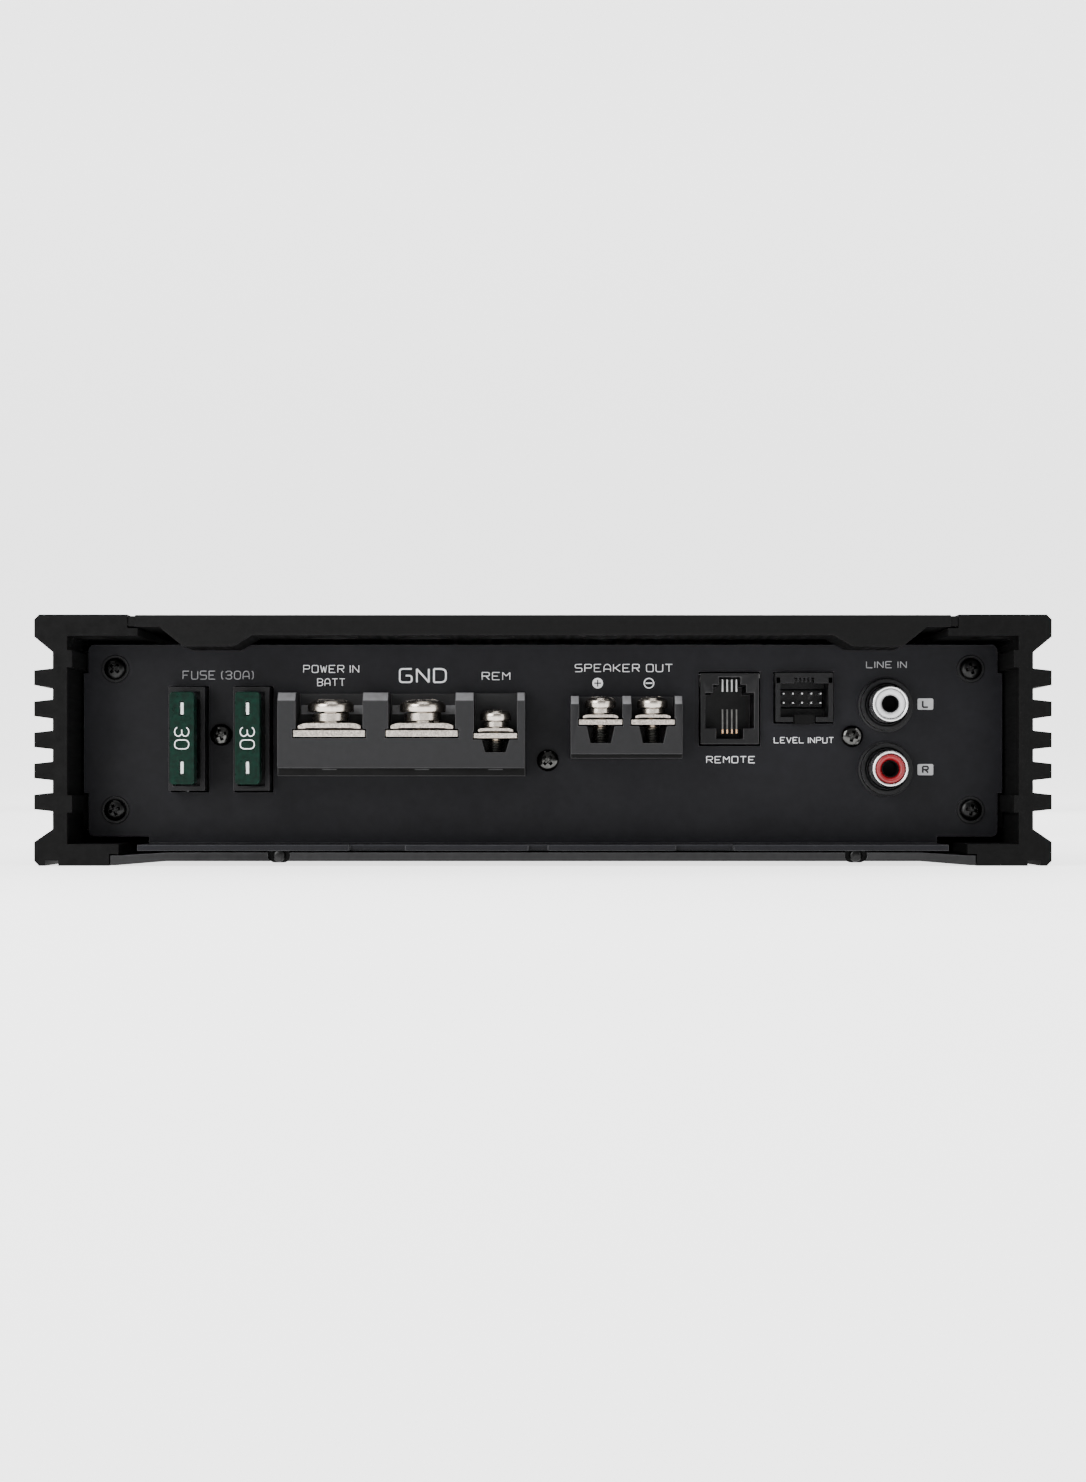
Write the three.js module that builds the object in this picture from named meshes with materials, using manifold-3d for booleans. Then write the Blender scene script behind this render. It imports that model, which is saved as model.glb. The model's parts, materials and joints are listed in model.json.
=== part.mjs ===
// A car amplifier with finned side heatsinks, recessed end panels, screw terminals and blade fuses.
// Millimetres, +Z up. The origin is the middle of the footprint.
// The terminal end faces -Y and the control end faces +Y.
import * as THREE from "three";
import { mergeVertices } from "three/addons/utils/BufferGeometryUtils.js";
import Module from "manifold-3d";

const wasm = await Module();
wasm.setup();

// ---------------------------------------------------------------- driving dimensions
const WIDTH = 208;
const HEIGHT = 51.4;
const LENGTH = 220;
const END_RECESS = 18; // how far both end panels sit behind the ends of the heatsinks
const GAP = 0.3; // clearance between neighbouring pieces
const SHEET = 1.2; // thickness of the two end panels
const SMALL_SIDES = 12; // sides of small round pieces
const LARGE_SIDES = 20; // sides of large round pieces
const HOLE_SIDES = 36; // sides of the holes that can be seen from above

const HALF_WIDTH = WIDTH / 2;
const HALF_LENGTH = LENGTH / 2;
const PANEL_FACE = HALF_LENGTH - END_RECESS; // distance of each panel's outer face from the middle
const PANEL_BACK = PANEL_FACE - SHEET;

// Side heatsink extrusion, as distances from the middle plane and heights.
const SINK = {
  rootX: 100.2,
  innerX: 97.3,
  ribX: 96.3,
  topFlangeX: 85,
  topLedgeX: 82.9,
  bottomFlangeX: 88.7,
  bottomLedgeX: 86.8,
  topFlangeZ: 47.06,
  topLedgeZ: 48.6,
  bottomFlangeZ: 4.43,
  bottomLedgeZ: 2.43,
  lowerSlope: [4.9, 7.5],
  upperSlope: [43.7, 46.85],
  upperRib: [40.6, 44.1],
  lowerRib: [10.9, 14.4],
  chamfer: 1,
  groove: { x: [99.1, 101.8], depth: 1.1 },
};
const FIN = { count: 5, lowestZ: 13.05, pitch: 6.35, tip: 3, root: 3.85 };
const SEAT = { x: 93, inset: 9, screwR: 2.5, driverR: 4.5 }; // fixing screws at the four corners
const LUG = { x: [84, 97], depth: 8, z: [[7.6, 15], [37.3, 44.7]] };

// Top cover, as half widths and heights of its end outline.
const COVER = {
  halfWidth: 83.4,
  topZ: 51.3,
  edgeZ: 48.9,
  footX: [59.4, 63.4, 73.6, 78.5],
  footZ: 44.9,
  middleZ: 47.2,
  skin: 1.6,
};
// The bottom plate's outline, and the standing edge at each of its long sides.
const BOTTOM = { halfWidth: 88.4, flatHalf: 77, edge: [0.1, 2.1], middle: [0.95, 2.7], foot: 1, ledge: 2.2 };
const LIP = { halfWidth: 83, z: [3.05, 4.3], notch: 1.6 };
const LIP_NOTCHES = [[-39.6, -28.2], [-3, 1], [27.2, 39]];

// End panel sheet.
const PANEL = { halfWidth: 96.7, ribHalf: 95.7, bottomZ: 5.7, topZ: 46.1, cornerR: 1.2 };
const CORNER_SCREW = { x: 90, z: [11.3, 41], headR: 2.3, headHeight: 1.6, shankR: 1.5, length: 9 };
const MIDDLE_SCREWS = [
  { name: "fuse_holder_screw", x: -67.7, z: 27.1 },
  { name: "terminal_block_screw", x: 1, z: 21.7 },
  { name: "input_socket_screw", x: 65, z: 26.8 },
];

// Blade fuses: 19.1 x 5.1 mm bodies, with 5.2 mm blades. The window is the plastic in front of the element.
const FUSE = {
  x: [-74.4, -60.9],
  z: 26.2,
  width: 5.1,
  height: 19.1,
  proud: 13.5,
  depth: 12.2,
  headDepth: 4.5,
  window: 1.3,
  waist: { width: 3.8, inset: 1 },
  blade: { thick: 0.8, width: 5.2, length: 7, spacing: 9.2 },
  bridge: { start: 2, depth: 2, half: 4 },
};
const HOLDER = { width: 7.6, height: 21.7, proud: 5.2, back: 82.6 };

// Terminal blocks and their screws. The terminals of one block share its front face.
const BLOCK_PROUD = 13;
const BLOCK_CHAMFER = 1.8; // slope at the front of the top of each partition
const BLOCK_FOOT = 1.2; // how far the foot steps back
const BLOCK_INSET = { x: 2.6, z: 1.6, behind: 2 }; // the narrower part that passes through the panel
const WELL_DEPTH = 5.4; // room for a screw's end under its plate
const PLATE_BACK = 0.9; // from a plate's back edge to the back of its bay
const TAIL_OVERLAP = 2; // how far a plate's tail starts before the back of its bay
const TAIL_OUT = 3; // how far a tail passes the back of its block
const SHANK_OUT = 5; // how far a screw's end reaches below its plate
const BLOCK_FACE = -(PANEL_FACE + BLOCK_PROUD);
const BLOCK_BACK = -(PANEL_FACE - 4);
const POWER_BLOCK = { x: [-54.8, -3.7], z: [18.4, 35.7], stepZ: 20.1 };
const SPEAKER_BLOCK = { x: [5.7, 28.8], z: [22, 35], stepZ: 23 };
const LARGE_TERMINAL = {
  bay: 13.8,
  bayDepth: 10.8,
  axisDepth: 5.4,
  headR: 4.8,
  headZ: [31.8, 34.4],
  neckR: 4,
  shankR: 2.4,
  clampWidth: 13,
  clampZ: [28.15, 29.35],
  plateWidth: 14.6,
  plateZ: [26.5, 27.85],
  driverR: 5.6,
};
const SMALL_TERMINAL = {
  bay: 8.9,
  bayDepth: 9,
  axisDepth: 4.3,
  headR: 3.2,
  headZ: [29.9, 32.2],
  neckR: 2.6,
  shankR: 1.5,
  clampWidth: 7.3,
  clampZ: [27.55, 28.3],
  plateWidth: 8.7,
  plateZ: [26.2, 27.25],
  mouth: { width: 5.8, taper: 0.8, z: [23.3, 26] },
  driverR: 4,
};
// The speaker terminals are like the small power one, and sit higher.
const SPEAKER_TERMINAL = {
  ...SMALL_TERMINAL,
  headZ: [32.7, 34.9],
  clampZ: [30.35, 31.1],
  plateZ: [29, 30.05],
  mouth: { width: 5.8, taper: 0.8, z: [25.2, 28.8] },
};
const TERMINALS = [
  { name: "battery", x: -44.1, block: "power", size: LARGE_TERMINAL },
  { name: "ground", x: -25, block: "power", size: LARGE_TERMINAL },
  { name: "remote", x: -9.8, block: "power", size: SMALL_TERMINAL },
  { name: "speaker_plus", x: 11.9, block: "speaker", size: SPEAKER_TERMINAL },
  { name: "speaker_minus", x: 22.7, block: "speaker", size: SPEAKER_TERMINAL },
];

// Sockets beside the terminal blocks.
const REMOTE_SOCKET = {
  x: [33.1, 45.4],
  z: [25.1, 40.1],
  proud: 1.4,
  depth: 14,
  mouthX: [34.1, 44.3],
  mouthZ: [28.5, 35.9],
  mouthDepth: 12,
  steps: [[6.9, 37.6], [4.5, 39.2]],
  foot: [5.6, 26.3],
};
const LEVEL_SOCKET = {
  x: [48.8, 60.9],
  z: [29.8, 40.1],
  proud: 2.2,
  depth: 12,
  wall: 1,
  mouthDepth: 10.2,
  notchWidth: 4.8,
  pinPitch: 1.95,
  pinColumns: 5,
  pinRows: 2,
  pinWidth: 0.6,
  pinLength: 4.6,
  pinMargin: 0.8,
};
const PHONO = {
  x: 72.1,
  z: [19.9, 33.4],
  collarR: 5.4,
  collarProud: 2.6,
  shellR: 4,
  shellWall: 0.55,
  shellProud: 9.5,
  holeR: 1.65,
  body: { x: [66.9, 78.3], z: [13.4, 39.9], back: 78, floor: 4 },
};

// Controls at the other end.
const CONTROL_Z = 27;
const POTS = [
  { name: "sensitivity", x: -34 },
  { name: "crossover", x: -10 },
  { name: "bass", x: 14 },
];
const POT = { half: 5, depth: 6, shaftR: 3, shaftOut: 3.4 };
const KNOB = { r: 4.6, height: 8.4, pointer: 0.8 };
const SWITCH = {
  x: 40,
  halfWidth: 6,
  halfHeight: 3,
  depth: 5.4,
  slotDepth: 3,
  travel: 3,
  stem: 2.4,
  stemOut: 3.2,
};
const LIGHT = { x: 62, r: 1.5, proud: 1, flangeR: 1.9, length: 5 };
const CONTROL_BOARD = { halfWidth: 72, z: [12, 42], y: [82.2, 83.8] };

// Main board and what stands on it.
const BOARD = { halfWidth: 80, halfLength: 76, z: [6.3, 7.9] };
const STANDOFFS = { x: [-70, 70], y: [-66, 0, 66], r: 3 };
const TRANSFORMER = { x: -34, y: -34, r: 21, holeR: 8, height: 19 };
const INDUCTOR = { x: 40, y: -36, r: 12, holeR: 5, height: 12 };
const COIL_ROUND = 2.5;
const CAPACITORS = [
  { name: "storage_capacitor_1", x: -10, y: 34 },
  { name: "storage_capacitor_2", x: 12, y: 34 },
];
const CAPACITOR = { r: 9, height: 32, rim: 0.8 };
const BANK = { x: [91.2, 97], z: [18, 34], halfLength: 58, count: 6, package: [15, 4.6], barHalf: 3 };

// ---------------------------------------------------------------- shape helpers

// A three.js geometry as a closed solid for joining and cutting.
function solid(geometry) {
  const bare = geometry.clone();
  bare.deleteAttribute("normal");
  bare.deleteAttribute("uv");
  const merged = mergeVertices(bare, 1e-4);
  const corners = merged.index.array;
  const kept = [];
  for (let i = 0; i < corners.length; i += 3) {
    const [a, b, c] = corners.slice(i, i + 3);
    if (a !== b && b !== c && a !== c) kept.push(a, b, c);
  }
  return new wasm.Manifold(
    new wasm.Mesh({
      numProp: 3,
      vertProperties: merged.attributes.position.array,
      triVerts: new Uint32Array(kept),
    }),
  );
}

// The solid's surface as a three.js geometry.
function geometryOf(body) {
  const surface = body.getMesh();
  const geometry = new THREE.BufferGeometry();
  geometry.setAttribute("position", new THREE.BufferAttribute(surface.vertProperties, 3));
  geometry.setIndex(new THREE.BufferAttribute(surface.triVerts, 1));
  geometry.computeVertexNormals();
  return geometry;
}

// A box between two limits along each axis.
function box(x, y, z) {
  const size = [x, y, z].map(([low, high]) => high - low);
  const middle = [x, y, z].map(([low, high]) => (high + low) / 2);
  return solid(new THREE.BoxGeometry(...size).translate(...middle));
}

// A round rod along Z, and one along Y.
function rodZ(r, x, y, z, sides = SMALL_SIDES) {
  const [low, high] = z;
  const geometry = new THREE.CylinderGeometry(r, r, high - low, sides);
  return solid(geometry.rotateX(Math.PI / 2).translate(x, y, (low + high) / 2));
}

function rodY(r, x, y, z, sides = SMALL_SIDES) {
  const [low, high] = y;
  const geometry = new THREE.CylinderGeometry(r, r, high - low, sides);
  return solid(geometry.translate(x, (low + high) / 2, z));
}

// An outline of [x, z] points drawn out along Y.
function prismY(outline, y) {
  const shape = new THREE.Shape(outline.map(([x, z]) => new THREE.Vector2(x, z)));
  const [low, high] = y;
  const geometry = new THREE.ExtrudeGeometry(shape, { depth: high - low, bevelEnabled: false });
  return solid(geometry.rotateX(Math.PI / 2).translate(0, high, 0));
}

// Cuts right through an end panel.
function rectangleHole(x, z) {
  return box(x, [-HALF_LENGTH, HALF_LENGTH], z);
}

function roundHole(r, x, z) {
  return rodY(r, x, [-HALF_LENGTH, HALF_LENGTH], z);
}

// A profile of [radius, height] points turned about Z.
function turned(profile, sides = SMALL_SIDES) {
  const points = profile.map(([r, height]) => new THREE.Vector2(r, height));
  return solid(new THREE.LatheGeometry(points, sides).rotateX(Math.PI / 2));
}

function joined(bodies) {
  return bodies.reduce((sum, body) => sum.add(body));
}

// An outline mirrored across the middle plane and closed.
function bothSides(half) {
  const other = half.map(([x, z]) => [-x, z]).reverse();
  return [...half, ...other];
}

function grown([low, high], by) {
  return [low - by, high + by];
}

function around(middle, half) {
  return [middle - half, middle + half];
}

// Two limits in rising order.
function span(a, b) {
  return a < b ? [a, b] : [b, a];
}

// A quarter circle of outline points inside the corner at [x, z]. inX and inZ point into the outline.
function roundedCorner(x, z, r, inX, inZ, upwards) {
  const steps = 4;
  const points = [];
  for (let i = 0; i <= steps; i++) {
    const angle = ((upwards ? i : steps - i) / steps) * (Math.PI / 2);
    const across = r * (1 - Math.sin(angle));
    const along = r * (1 - Math.cos(angle));
    points.push([x + inX * across, z + inZ * along]);
  }
  return points;
}

// ---------------------------------------------------------------- materials
const FINISH = {
  sink: [0x202020, 0.55, 0.5],
  cover: [0x2a2a2a, 0.5, 0.4],
  panel: [0x2c2c30, 0.5, 0.3],
  plate: [0x444648, 0.45, 0.7],
  block: [0x3a3a3c, 0.5, 0],
  plastic: [0x141414, 0.45, 0],
  nickel: [0xd8d0c4, 0.25, 1],
  screw: [0x1a1a1a, 0.35, 0.8],
  fuse: [0x14503c, 0.15, 0],
  board: [0x1d5a34, 0.5, 0],
  white: [0xe8e8e8, 0.4, 0],
  red: [0xb02a2a, 0.4, 0],
  copper: [0xa05a2c, 0.35, 0.9],
  sleeve: [0x222a44, 0.4, 0],
  light: [0x3060c0, 0.2, 0],
};

const amplifier = new THREE.Group();
amplifier.name = "car_amplifier";

function addPiece(name, finish, body, group = amplifier) {
  const [color, roughness, metalness] = FINISH[finish];
  const material = new THREE.MeshStandardMaterial({ color, roughness, metalness });
  const piece = new THREE.Mesh(geometryOf(body), material);
  piece.name = name;
  group.add(piece);
  return piece;
}

// ---------------------------------------------------------------- case

// One end view outline of a side heatsink, on the +X side.
function heatsinkOutline() {
  const outline = [
    [SINK.bottomFlangeX, 0],
    [SINK.groove.x[0], 0],
    [SINK.groove.x[0], SINK.groove.depth],
    [SINK.groove.x[1], SINK.groove.depth],
    [SINK.groove.x[1], 0],
    [HALF_WIDTH - SINK.chamfer, 0],
    [HALF_WIDTH, SINK.chamfer],
    [HALF_WIDTH, SINK.lowerSlope[0]],
    [SINK.rootX, SINK.lowerSlope[1]],
  ];
  for (let i = 0; i < FIN.count; i++) {
    const z = FIN.lowestZ + i * FIN.pitch;
    outline.push([SINK.rootX, z - FIN.root / 2]);
    outline.push([HALF_WIDTH, z - FIN.tip / 2]);
    outline.push([HALF_WIDTH, z + FIN.tip / 2]);
    outline.push([SINK.rootX, z + FIN.root / 2]);
  }
  outline.push([SINK.rootX, SINK.upperSlope[0]]);
  outline.push([HALF_WIDTH, SINK.upperSlope[1]]);
  outline.push([HALF_WIDTH, HEIGHT - SINK.chamfer]);
  outline.push([HALF_WIDTH - SINK.chamfer, HEIGHT]);
  outline.push([SINK.topFlangeX, HEIGHT]);
  outline.push([SINK.topFlangeX, SINK.topLedgeZ]);
  outline.push([SINK.topLedgeX, SINK.topLedgeZ]);
  outline.push([SINK.topLedgeX, SINK.topFlangeZ]);
  outline.push([SINK.innerX, SINK.topFlangeZ]);
  for (const [low, high] of [SINK.upperRib, SINK.lowerRib]) {
    outline.push([SINK.innerX, high]);
    outline.push([SINK.ribX, high]);
    outline.push([SINK.ribX, low]);
    outline.push([SINK.innerX, low]);
  }
  outline.push([SINK.innerX, SINK.bottomFlangeZ]);
  outline.push([SINK.bottomLedgeX, SINK.bottomFlangeZ]);
  outline.push([SINK.bottomLedgeX, SINK.bottomLedgeZ]);
  outline.push([SINK.bottomFlangeX, SINK.bottomLedgeZ]);
  return outline;
}

// A side heatsink with its fixing holes and the lugs that the end panels are screwed to.
function heatsink(side) {
  const outline = heatsinkOutline().map(([x, z]) => [side * x, z]);
  let body = prismY(outline, [-HALF_LENGTH, HALF_LENGTH]);
  for (const end of [-1, 1]) {
    const lugX = span(side * LUG.x[0], side * LUG.x[1]);
    const lugY = span(end * (PANEL_BACK - GAP), end * (PANEL_BACK - GAP - LUG.depth));
    for (const [i, z] of LUG.z.entries()) {
      const hole = roundHole(CORNER_SCREW.shankR + GAP, side * CORNER_SCREW.x, CORNER_SCREW.z[i]);
      body = body.add(box(lugX, lugY, z).subtract(hole));
    }
    const seatX = side * SEAT.x;
    const seatY = end * (HALF_LENGTH - SEAT.inset);
    const bottom = [-1, SINK.bottomFlangeZ + 1];
    const top = [SINK.topFlangeZ - 1, HEIGHT + 1];
    body = body.subtract(rodZ(SEAT.screwR, seatX, seatY, bottom, HOLE_SIDES));
    body = body.subtract(rodZ(SEAT.driverR, seatX, seatY, top, HOLE_SIDES));
  }
  return body;
}

// The cover is a skin with a solid bar across each end. Each bar has two feet that reach lower.
function topCover() {
  const [footIn, footStart, footEnd, footOut] = COVER.footX;
  const half = [
    [COVER.halfWidth, COVER.topZ],
    [COVER.halfWidth, COVER.edgeZ],
    [footOut, COVER.edgeZ],
    [footEnd, COVER.footZ],
    [footStart, COVER.footZ],
    [footIn, COVER.middleZ],
  ];
  const bar = bothSides(half);
  const skinZ = COVER.topZ - COVER.skin;
  const skin = bothSides([
    [COVER.halfWidth, COVER.topZ],
    [COVER.halfWidth, COVER.edgeZ],
    [footOut, COVER.edgeZ],
    [footOut - 1, skinZ],
  ]);
  const barDepth = END_RECESS - 2 * GAP;
  let body = prismY(skin, [-HALF_LENGTH, HALF_LENGTH]);
  body = body.add(prismY(bar, [-HALF_LENGTH, -HALF_LENGTH + barDepth]));
  body = body.add(prismY(bar, [HALF_LENGTH - barDepth, HALF_LENGTH]));
  for (const { x, size } of TERMINALS) {
    const y = BLOCK_FACE + size.axisDepth;
    body = body.subtract(rodZ(size.driverR, x, y, [COVER.footZ, HEIGHT + 1], HOLE_SIDES));
  }
  return body;
}

// The bottom plate bends up to a raised middle and carries the board's standoffs.
function bottomPlate() {
  const lower = bothSides([
    [BOTTOM.halfWidth, BOTTOM.edge[1]],
    [BOTTOM.halfWidth, BOTTOM.edge[0]],
    [BOTTOM.halfWidth - BOTTOM.foot, BOTTOM.edge[0]],
    [BOTTOM.flatHalf, BOTTOM.middle[0]],
  ]);
  const upper = [
    [-BOTTOM.halfWidth + BOTTOM.ledge, BOTTOM.edge[1]],
    [-BOTTOM.flatHalf, BOTTOM.middle[1]],
    [BOTTOM.flatHalf, BOTTOM.middle[1]],
    [BOTTOM.halfWidth - BOTTOM.ledge, BOTTOM.edge[1]],
  ];
  let body = prismY([...lower, ...upper], [-HALF_LENGTH, HALF_LENGTH]);
  for (const x of STANDOFFS.x) {
    for (const y of STANDOFFS.y) {
      body = body.add(rodZ(STANDOFFS.r, x, y, [BOTTOM.middle[0] + 0.5, BOARD.z[0] - GAP]));
    }
  }
  return body;
}

// The sheet of one end panel: narrower beside the heatsinks' ribs, with a lip along the bottom plate.
// end is -1 at the terminals and 1 at the controls.
function endPanel(end, holes, notches) {
  const aboveRib = SINK.lowerRib[1] + 0.5;
  const belowRib = SINK.upperRib[0] - 0.5;
  const half = [
    ...roundedCorner(PANEL.ribHalf, PANEL.bottomZ, PANEL.cornerR, -1, 1, true),
    [PANEL.ribHalf, aboveRib],
    [PANEL.halfWidth, aboveRib],
    [PANEL.halfWidth, belowRib],
    [PANEL.ribHalf, belowRib],
    ...roundedCorner(PANEL.ribHalf, PANEL.topZ, PANEL.cornerR, -1, -1, false),
  ];
  for (const x of [-CORNER_SCREW.x, CORNER_SCREW.x]) {
    for (const z of CORNER_SCREW.z) {
      holes.push(roundHole(CORNER_SCREW.shankR + GAP, x, z));
    }
  }
  const thickness = span(end * PANEL_FACE, end * PANEL_BACK);
  const lipY = span(end * PANEL_BACK, end * (HALF_LENGTH - GAP));
  let body = prismY(bothSides(half), thickness).subtract(joined(holes));
  const lipX = [-LIP.halfWidth, LIP.halfWidth];
  body = body.add(box(lipX, thickness, [LIP.z[0], PANEL.bottomZ + 1]));
  body = body.add(box(lipX, lipY, LIP.z));
  for (const x of notches) {
    const edge = span(end * (HALF_LENGTH - LIP.notch), end * HALF_LENGTH);
    body = body.subtract(box(x, edge, grown(LIP.z, 1)));
  }
  return body;
}

function terminalPanel() {
  const holes = [
    rectangleHole(grown(POWER_BLOCK.x, GAP - 2), grown(POWER_BLOCK.z, GAP - 1)),
    rectangleHole(grown(SPEAKER_BLOCK.x, GAP - 1), grown(SPEAKER_BLOCK.z, GAP - 1)),
    rectangleHole(grown(REMOTE_SOCKET.x, GAP), grown(REMOTE_SOCKET.z, GAP)),
    rectangleHole(grown(LEVEL_SOCKET.x, GAP), grown(LEVEL_SOCKET.z, GAP)),
  ];
  for (const z of PHONO.z) {
    holes.push(roundHole(PHONO.collarR + GAP, PHONO.x, z));
  }
  for (const x of FUSE.x) {
    const acrossHolder = around(x, HOLDER.width / 2 + GAP);
    holes.push(rectangleHole(acrossHolder, around(FUSE.z, HOLDER.height / 2 + GAP)));
  }
  for (const { x, z } of MIDDLE_SCREWS) {
    holes.push(roundHole(CORNER_SCREW.shankR + GAP, x, z));
  }
  return endPanel(-1, holes, LIP_NOTCHES);
}

function controlPanel() {
  const holes = [roundHole(LIGHT.r + GAP, LIGHT.x, CONTROL_Z)];
  for (const { x } of POTS) {
    holes.push(roundHole(POT.shaftR + GAP, x, CONTROL_Z));
  }
  const slotX = around(SWITCH.x, SWITCH.travel / 2 + SWITCH.stem / 2 + GAP);
  holes.push(rectangleHole(slotX, around(CONTROL_Z, SWITCH.stem / 2 + GAP)));
  return endPanel(1, holes, LIP_NOTCHES);
}

// A pan-head screw in the terminal panel, its shank pointing into the case.
function panelScrew(x, z) {
  const { headR, headHeight, shankR, length } = CORNER_SCREW;
  const screw = turned([
    [0, -length],
    [shankR, -length],
    [shankR, 0],
    [headR, 0],
    [headR, headHeight * 0.5],
    [headR * 0.6, headHeight],
    [0, headHeight],
  ]);
  return screw.rotate([90, 0, 0]).translate([x, -(PANEL_FACE + GAP), z]);
}

// ---------------------------------------------------------------- fuses

// Both fuses plug into one holder: a collar round each fuse, on a base behind the panel.
function fuseHolder() {
  const front = -(PANEL_FACE + HOLDER.proud);
  const pocketFloor = -(PANEL_FACE + FUSE.proud - FUSE.depth - GAP);
  const height = around(FUSE.z, HOLDER.height / 2);
  const baseX = grown(FUSE.x, HOLDER.width / 2);
  const screw = MIDDLE_SCREWS[0];
  let body = box(baseX, [-(PANEL_BACK - GAP), -HOLDER.back], height);
  body = body.subtract(roundHole(CORNER_SCREW.shankR + GAP, screw.x, screw.z));
  for (const x of FUSE.x) {
    const pocketX = around(x, FUSE.width / 2 + GAP);
    const pocketZ = around(FUSE.z, FUSE.height / 2 + GAP);
    const slots = [-1, 1].map((end) => bladeBox(x, end, GAP, [pocketFloor - 1, -HOLDER.back + 1]));
    body = body.add(box(around(x, HOLDER.width / 2), [front, -HOLDER.back], height));
    body = body.subtract(box(pocketX, [front - 1, pocketFloor], pocketZ));
    body = body.subtract(joined(slots));
  }
  return body;
}

// One blade of a fuse, or the slot for it when grown by a clearance.
function bladeBox(x, end, clearance, y) {
  const { thick, width, spacing } = FUSE.blade;
  const z = FUSE.z + (end * spacing) / 2;
  return box(around(x, thick / 2 + clearance), y, around(z, width / 2 + clearance));
}

// The fuse's plastic body, hollow behind its clear window where the metal element sits.
function fuseBody(x) {
  const front = -(PANEL_FACE + FUSE.proud);
  const back = front + FUSE.depth;
  const height = around(FUSE.z, FUSE.height / 2);
  const head = box(around(x, FUSE.width / 2), [front, front + FUSE.headDepth], height);
  const waistY = [front + FUSE.headDepth - 1, back];
  const waist = box(around(x, FUSE.waist.width / 2), waistY, grown(height, -FUSE.waist.inset));
  const hollow = elementOutline(x, GAP, [front + FUSE.window, back + 1]);
  return head.add(waist).subtract(hollow);
}

// The element: two blades joined by a narrow bridge.
function elementOutline(x, clearance, [front, back]) {
  const blades = [-1, 1].map((end) => bladeBox(x, end, clearance, [front, back]));
  const { start, depth, half } = FUSE.bridge;
  const bridgeY = [front + start, front + start + depth + 2 * clearance];
  const bridge = box(around(x, FUSE.blade.thick / 2 + clearance), bridgeY, around(FUSE.z, half));
  return joined([...blades, bridge]);
}

function fuseElement(x) {
  const front = -(PANEL_FACE + FUSE.proud) + FUSE.window + GAP;
  const back = -(PANEL_FACE + FUSE.proud) + FUSE.depth + FUSE.blade.length;
  return elementOutline(x, 0, [front, back]);
}

// ---------------------------------------------------------------- screw terminals

function terminalsOf(block) {
  return TERMINALS.filter((terminal) => terminal.block === block);
}

// A terminal block: bays open to the front and the top, over a lower body with a stepped foot.
function terminalBlock(name, { x, z, stepZ }) {
  const panelSide = -(PANEL_FACE + GAP);
  const { behind } = BLOCK_INSET;
  let body = box(x, [BLOCK_FACE, panelSide], [stepZ, z[1]]);
  body = body.subtract(edgeCutter(x, BLOCK_FACE, z[1]));
  body = body.add(box(x, [BLOCK_FACE + BLOCK_FOOT, panelSide], [z[0], stepZ + 1]));
  const throughPanel = [-(PANEL_FACE + behind), BLOCK_BACK];
  body = body.add(box(grown(x, -BLOCK_INSET.x), throughPanel, grown(z, -BLOCK_INSET.z)));
  for (const terminal of terminalsOf(name)) {
    body = body.subtract(terminalCuts(terminal));
  }
  return body;
}

// A square bar turned by 45 degrees, that cuts a chamfer along a block's upper front edge.
function edgeCutter(x, y, z) {
  const half = BLOCK_CHAMFER / Math.SQRT2;
  const bar = box(grown(x, 1), [-half, half], [-half, half]);
  return bar.rotate([45, 0, 0]).translate([0, y, z]);
}

// What one terminal takes out of its block: the bay, the plate's slot, the tail's slot and the screw's well.
function terminalCuts({ x, size }) {
  const front = BLOCK_FACE - 1;
  const back = BLOCK_FACE + size.bayDepth;
  const [plateLow, plateHigh] = size.plateZ;
  const slotZ = grown(size.plateZ, GAP);
  const plateY = [front, back - PLATE_BACK + GAP];
  const tailY = [back - TAIL_OVERLAP, BLOCK_BACK + 1];
  const y = BLOCK_FACE + size.axisDepth;
  const cuts = [
    box(around(x, size.bay / 2), [front, back], [plateHigh, HEIGHT]),
    box(around(x, size.plateWidth / 2 + GAP), plateY, slotZ),
    box(around(x, tailWidth(size) / 2 + GAP), tailY, slotZ),
    rodZ(size.shankR + GAP, x, y, [plateLow - WELL_DEPTH, plateHigh]),
  ];
  if (size.mouth) {
    cuts.push(wireMouth(x, size, front));
  }
  return joined(cuts);
}

// The mouth under a small terminal's plate, narrower at the bottom.
function wireMouth(x, size, front) {
  const [low, high] = size.mouth.z;
  const half = size.mouth.width / 2;
  const lowHalf = half - size.mouth.taper;
  const outline = [[x - lowHalf, low], [x + lowHalf, low], [x + half, high], [x - half, high]];
  return prismY(outline, [front, BLOCK_FACE + size.axisDepth + size.shankR + 1]);
}

function tailWidth(size) {
  return size.plateWidth * 0.5;
}

// The fixed contact plate, with a tail through the panel to the board behind it.
function contactPlate({ x, size }) {
  const back = BLOCK_FACE + size.bayDepth;
  const plateY = [BLOCK_FACE + 0.2, back - PLATE_BACK];
  const tailY = [back - TAIL_OVERLAP, BLOCK_BACK + TAIL_OUT];
  const plate = box(around(x, size.plateWidth / 2), plateY, size.plateZ);
  const strip = box(around(x, tailWidth(size) / 2), tailY, size.plateZ);
  const hole = rodZ(size.shankR + GAP, x, BLOCK_FACE + size.axisDepth, grown(size.plateZ, 1));
  return plate.add(strip).subtract(hole);
}

// The square clamp washer that the screw presses on the wire.
function clampWasher({ x, size }) {
  const half = size.clampWidth / 2;
  const y = BLOCK_FACE + size.axisDepth;
  const depth = Math.min(size.axisDepth - 0.5, half);
  const washer = box(around(x, half), around(y, depth), size.clampZ);
  return washer.subtract(rodZ(size.shankR + GAP, x, y, grown(size.clampZ, 1)));
}

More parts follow.
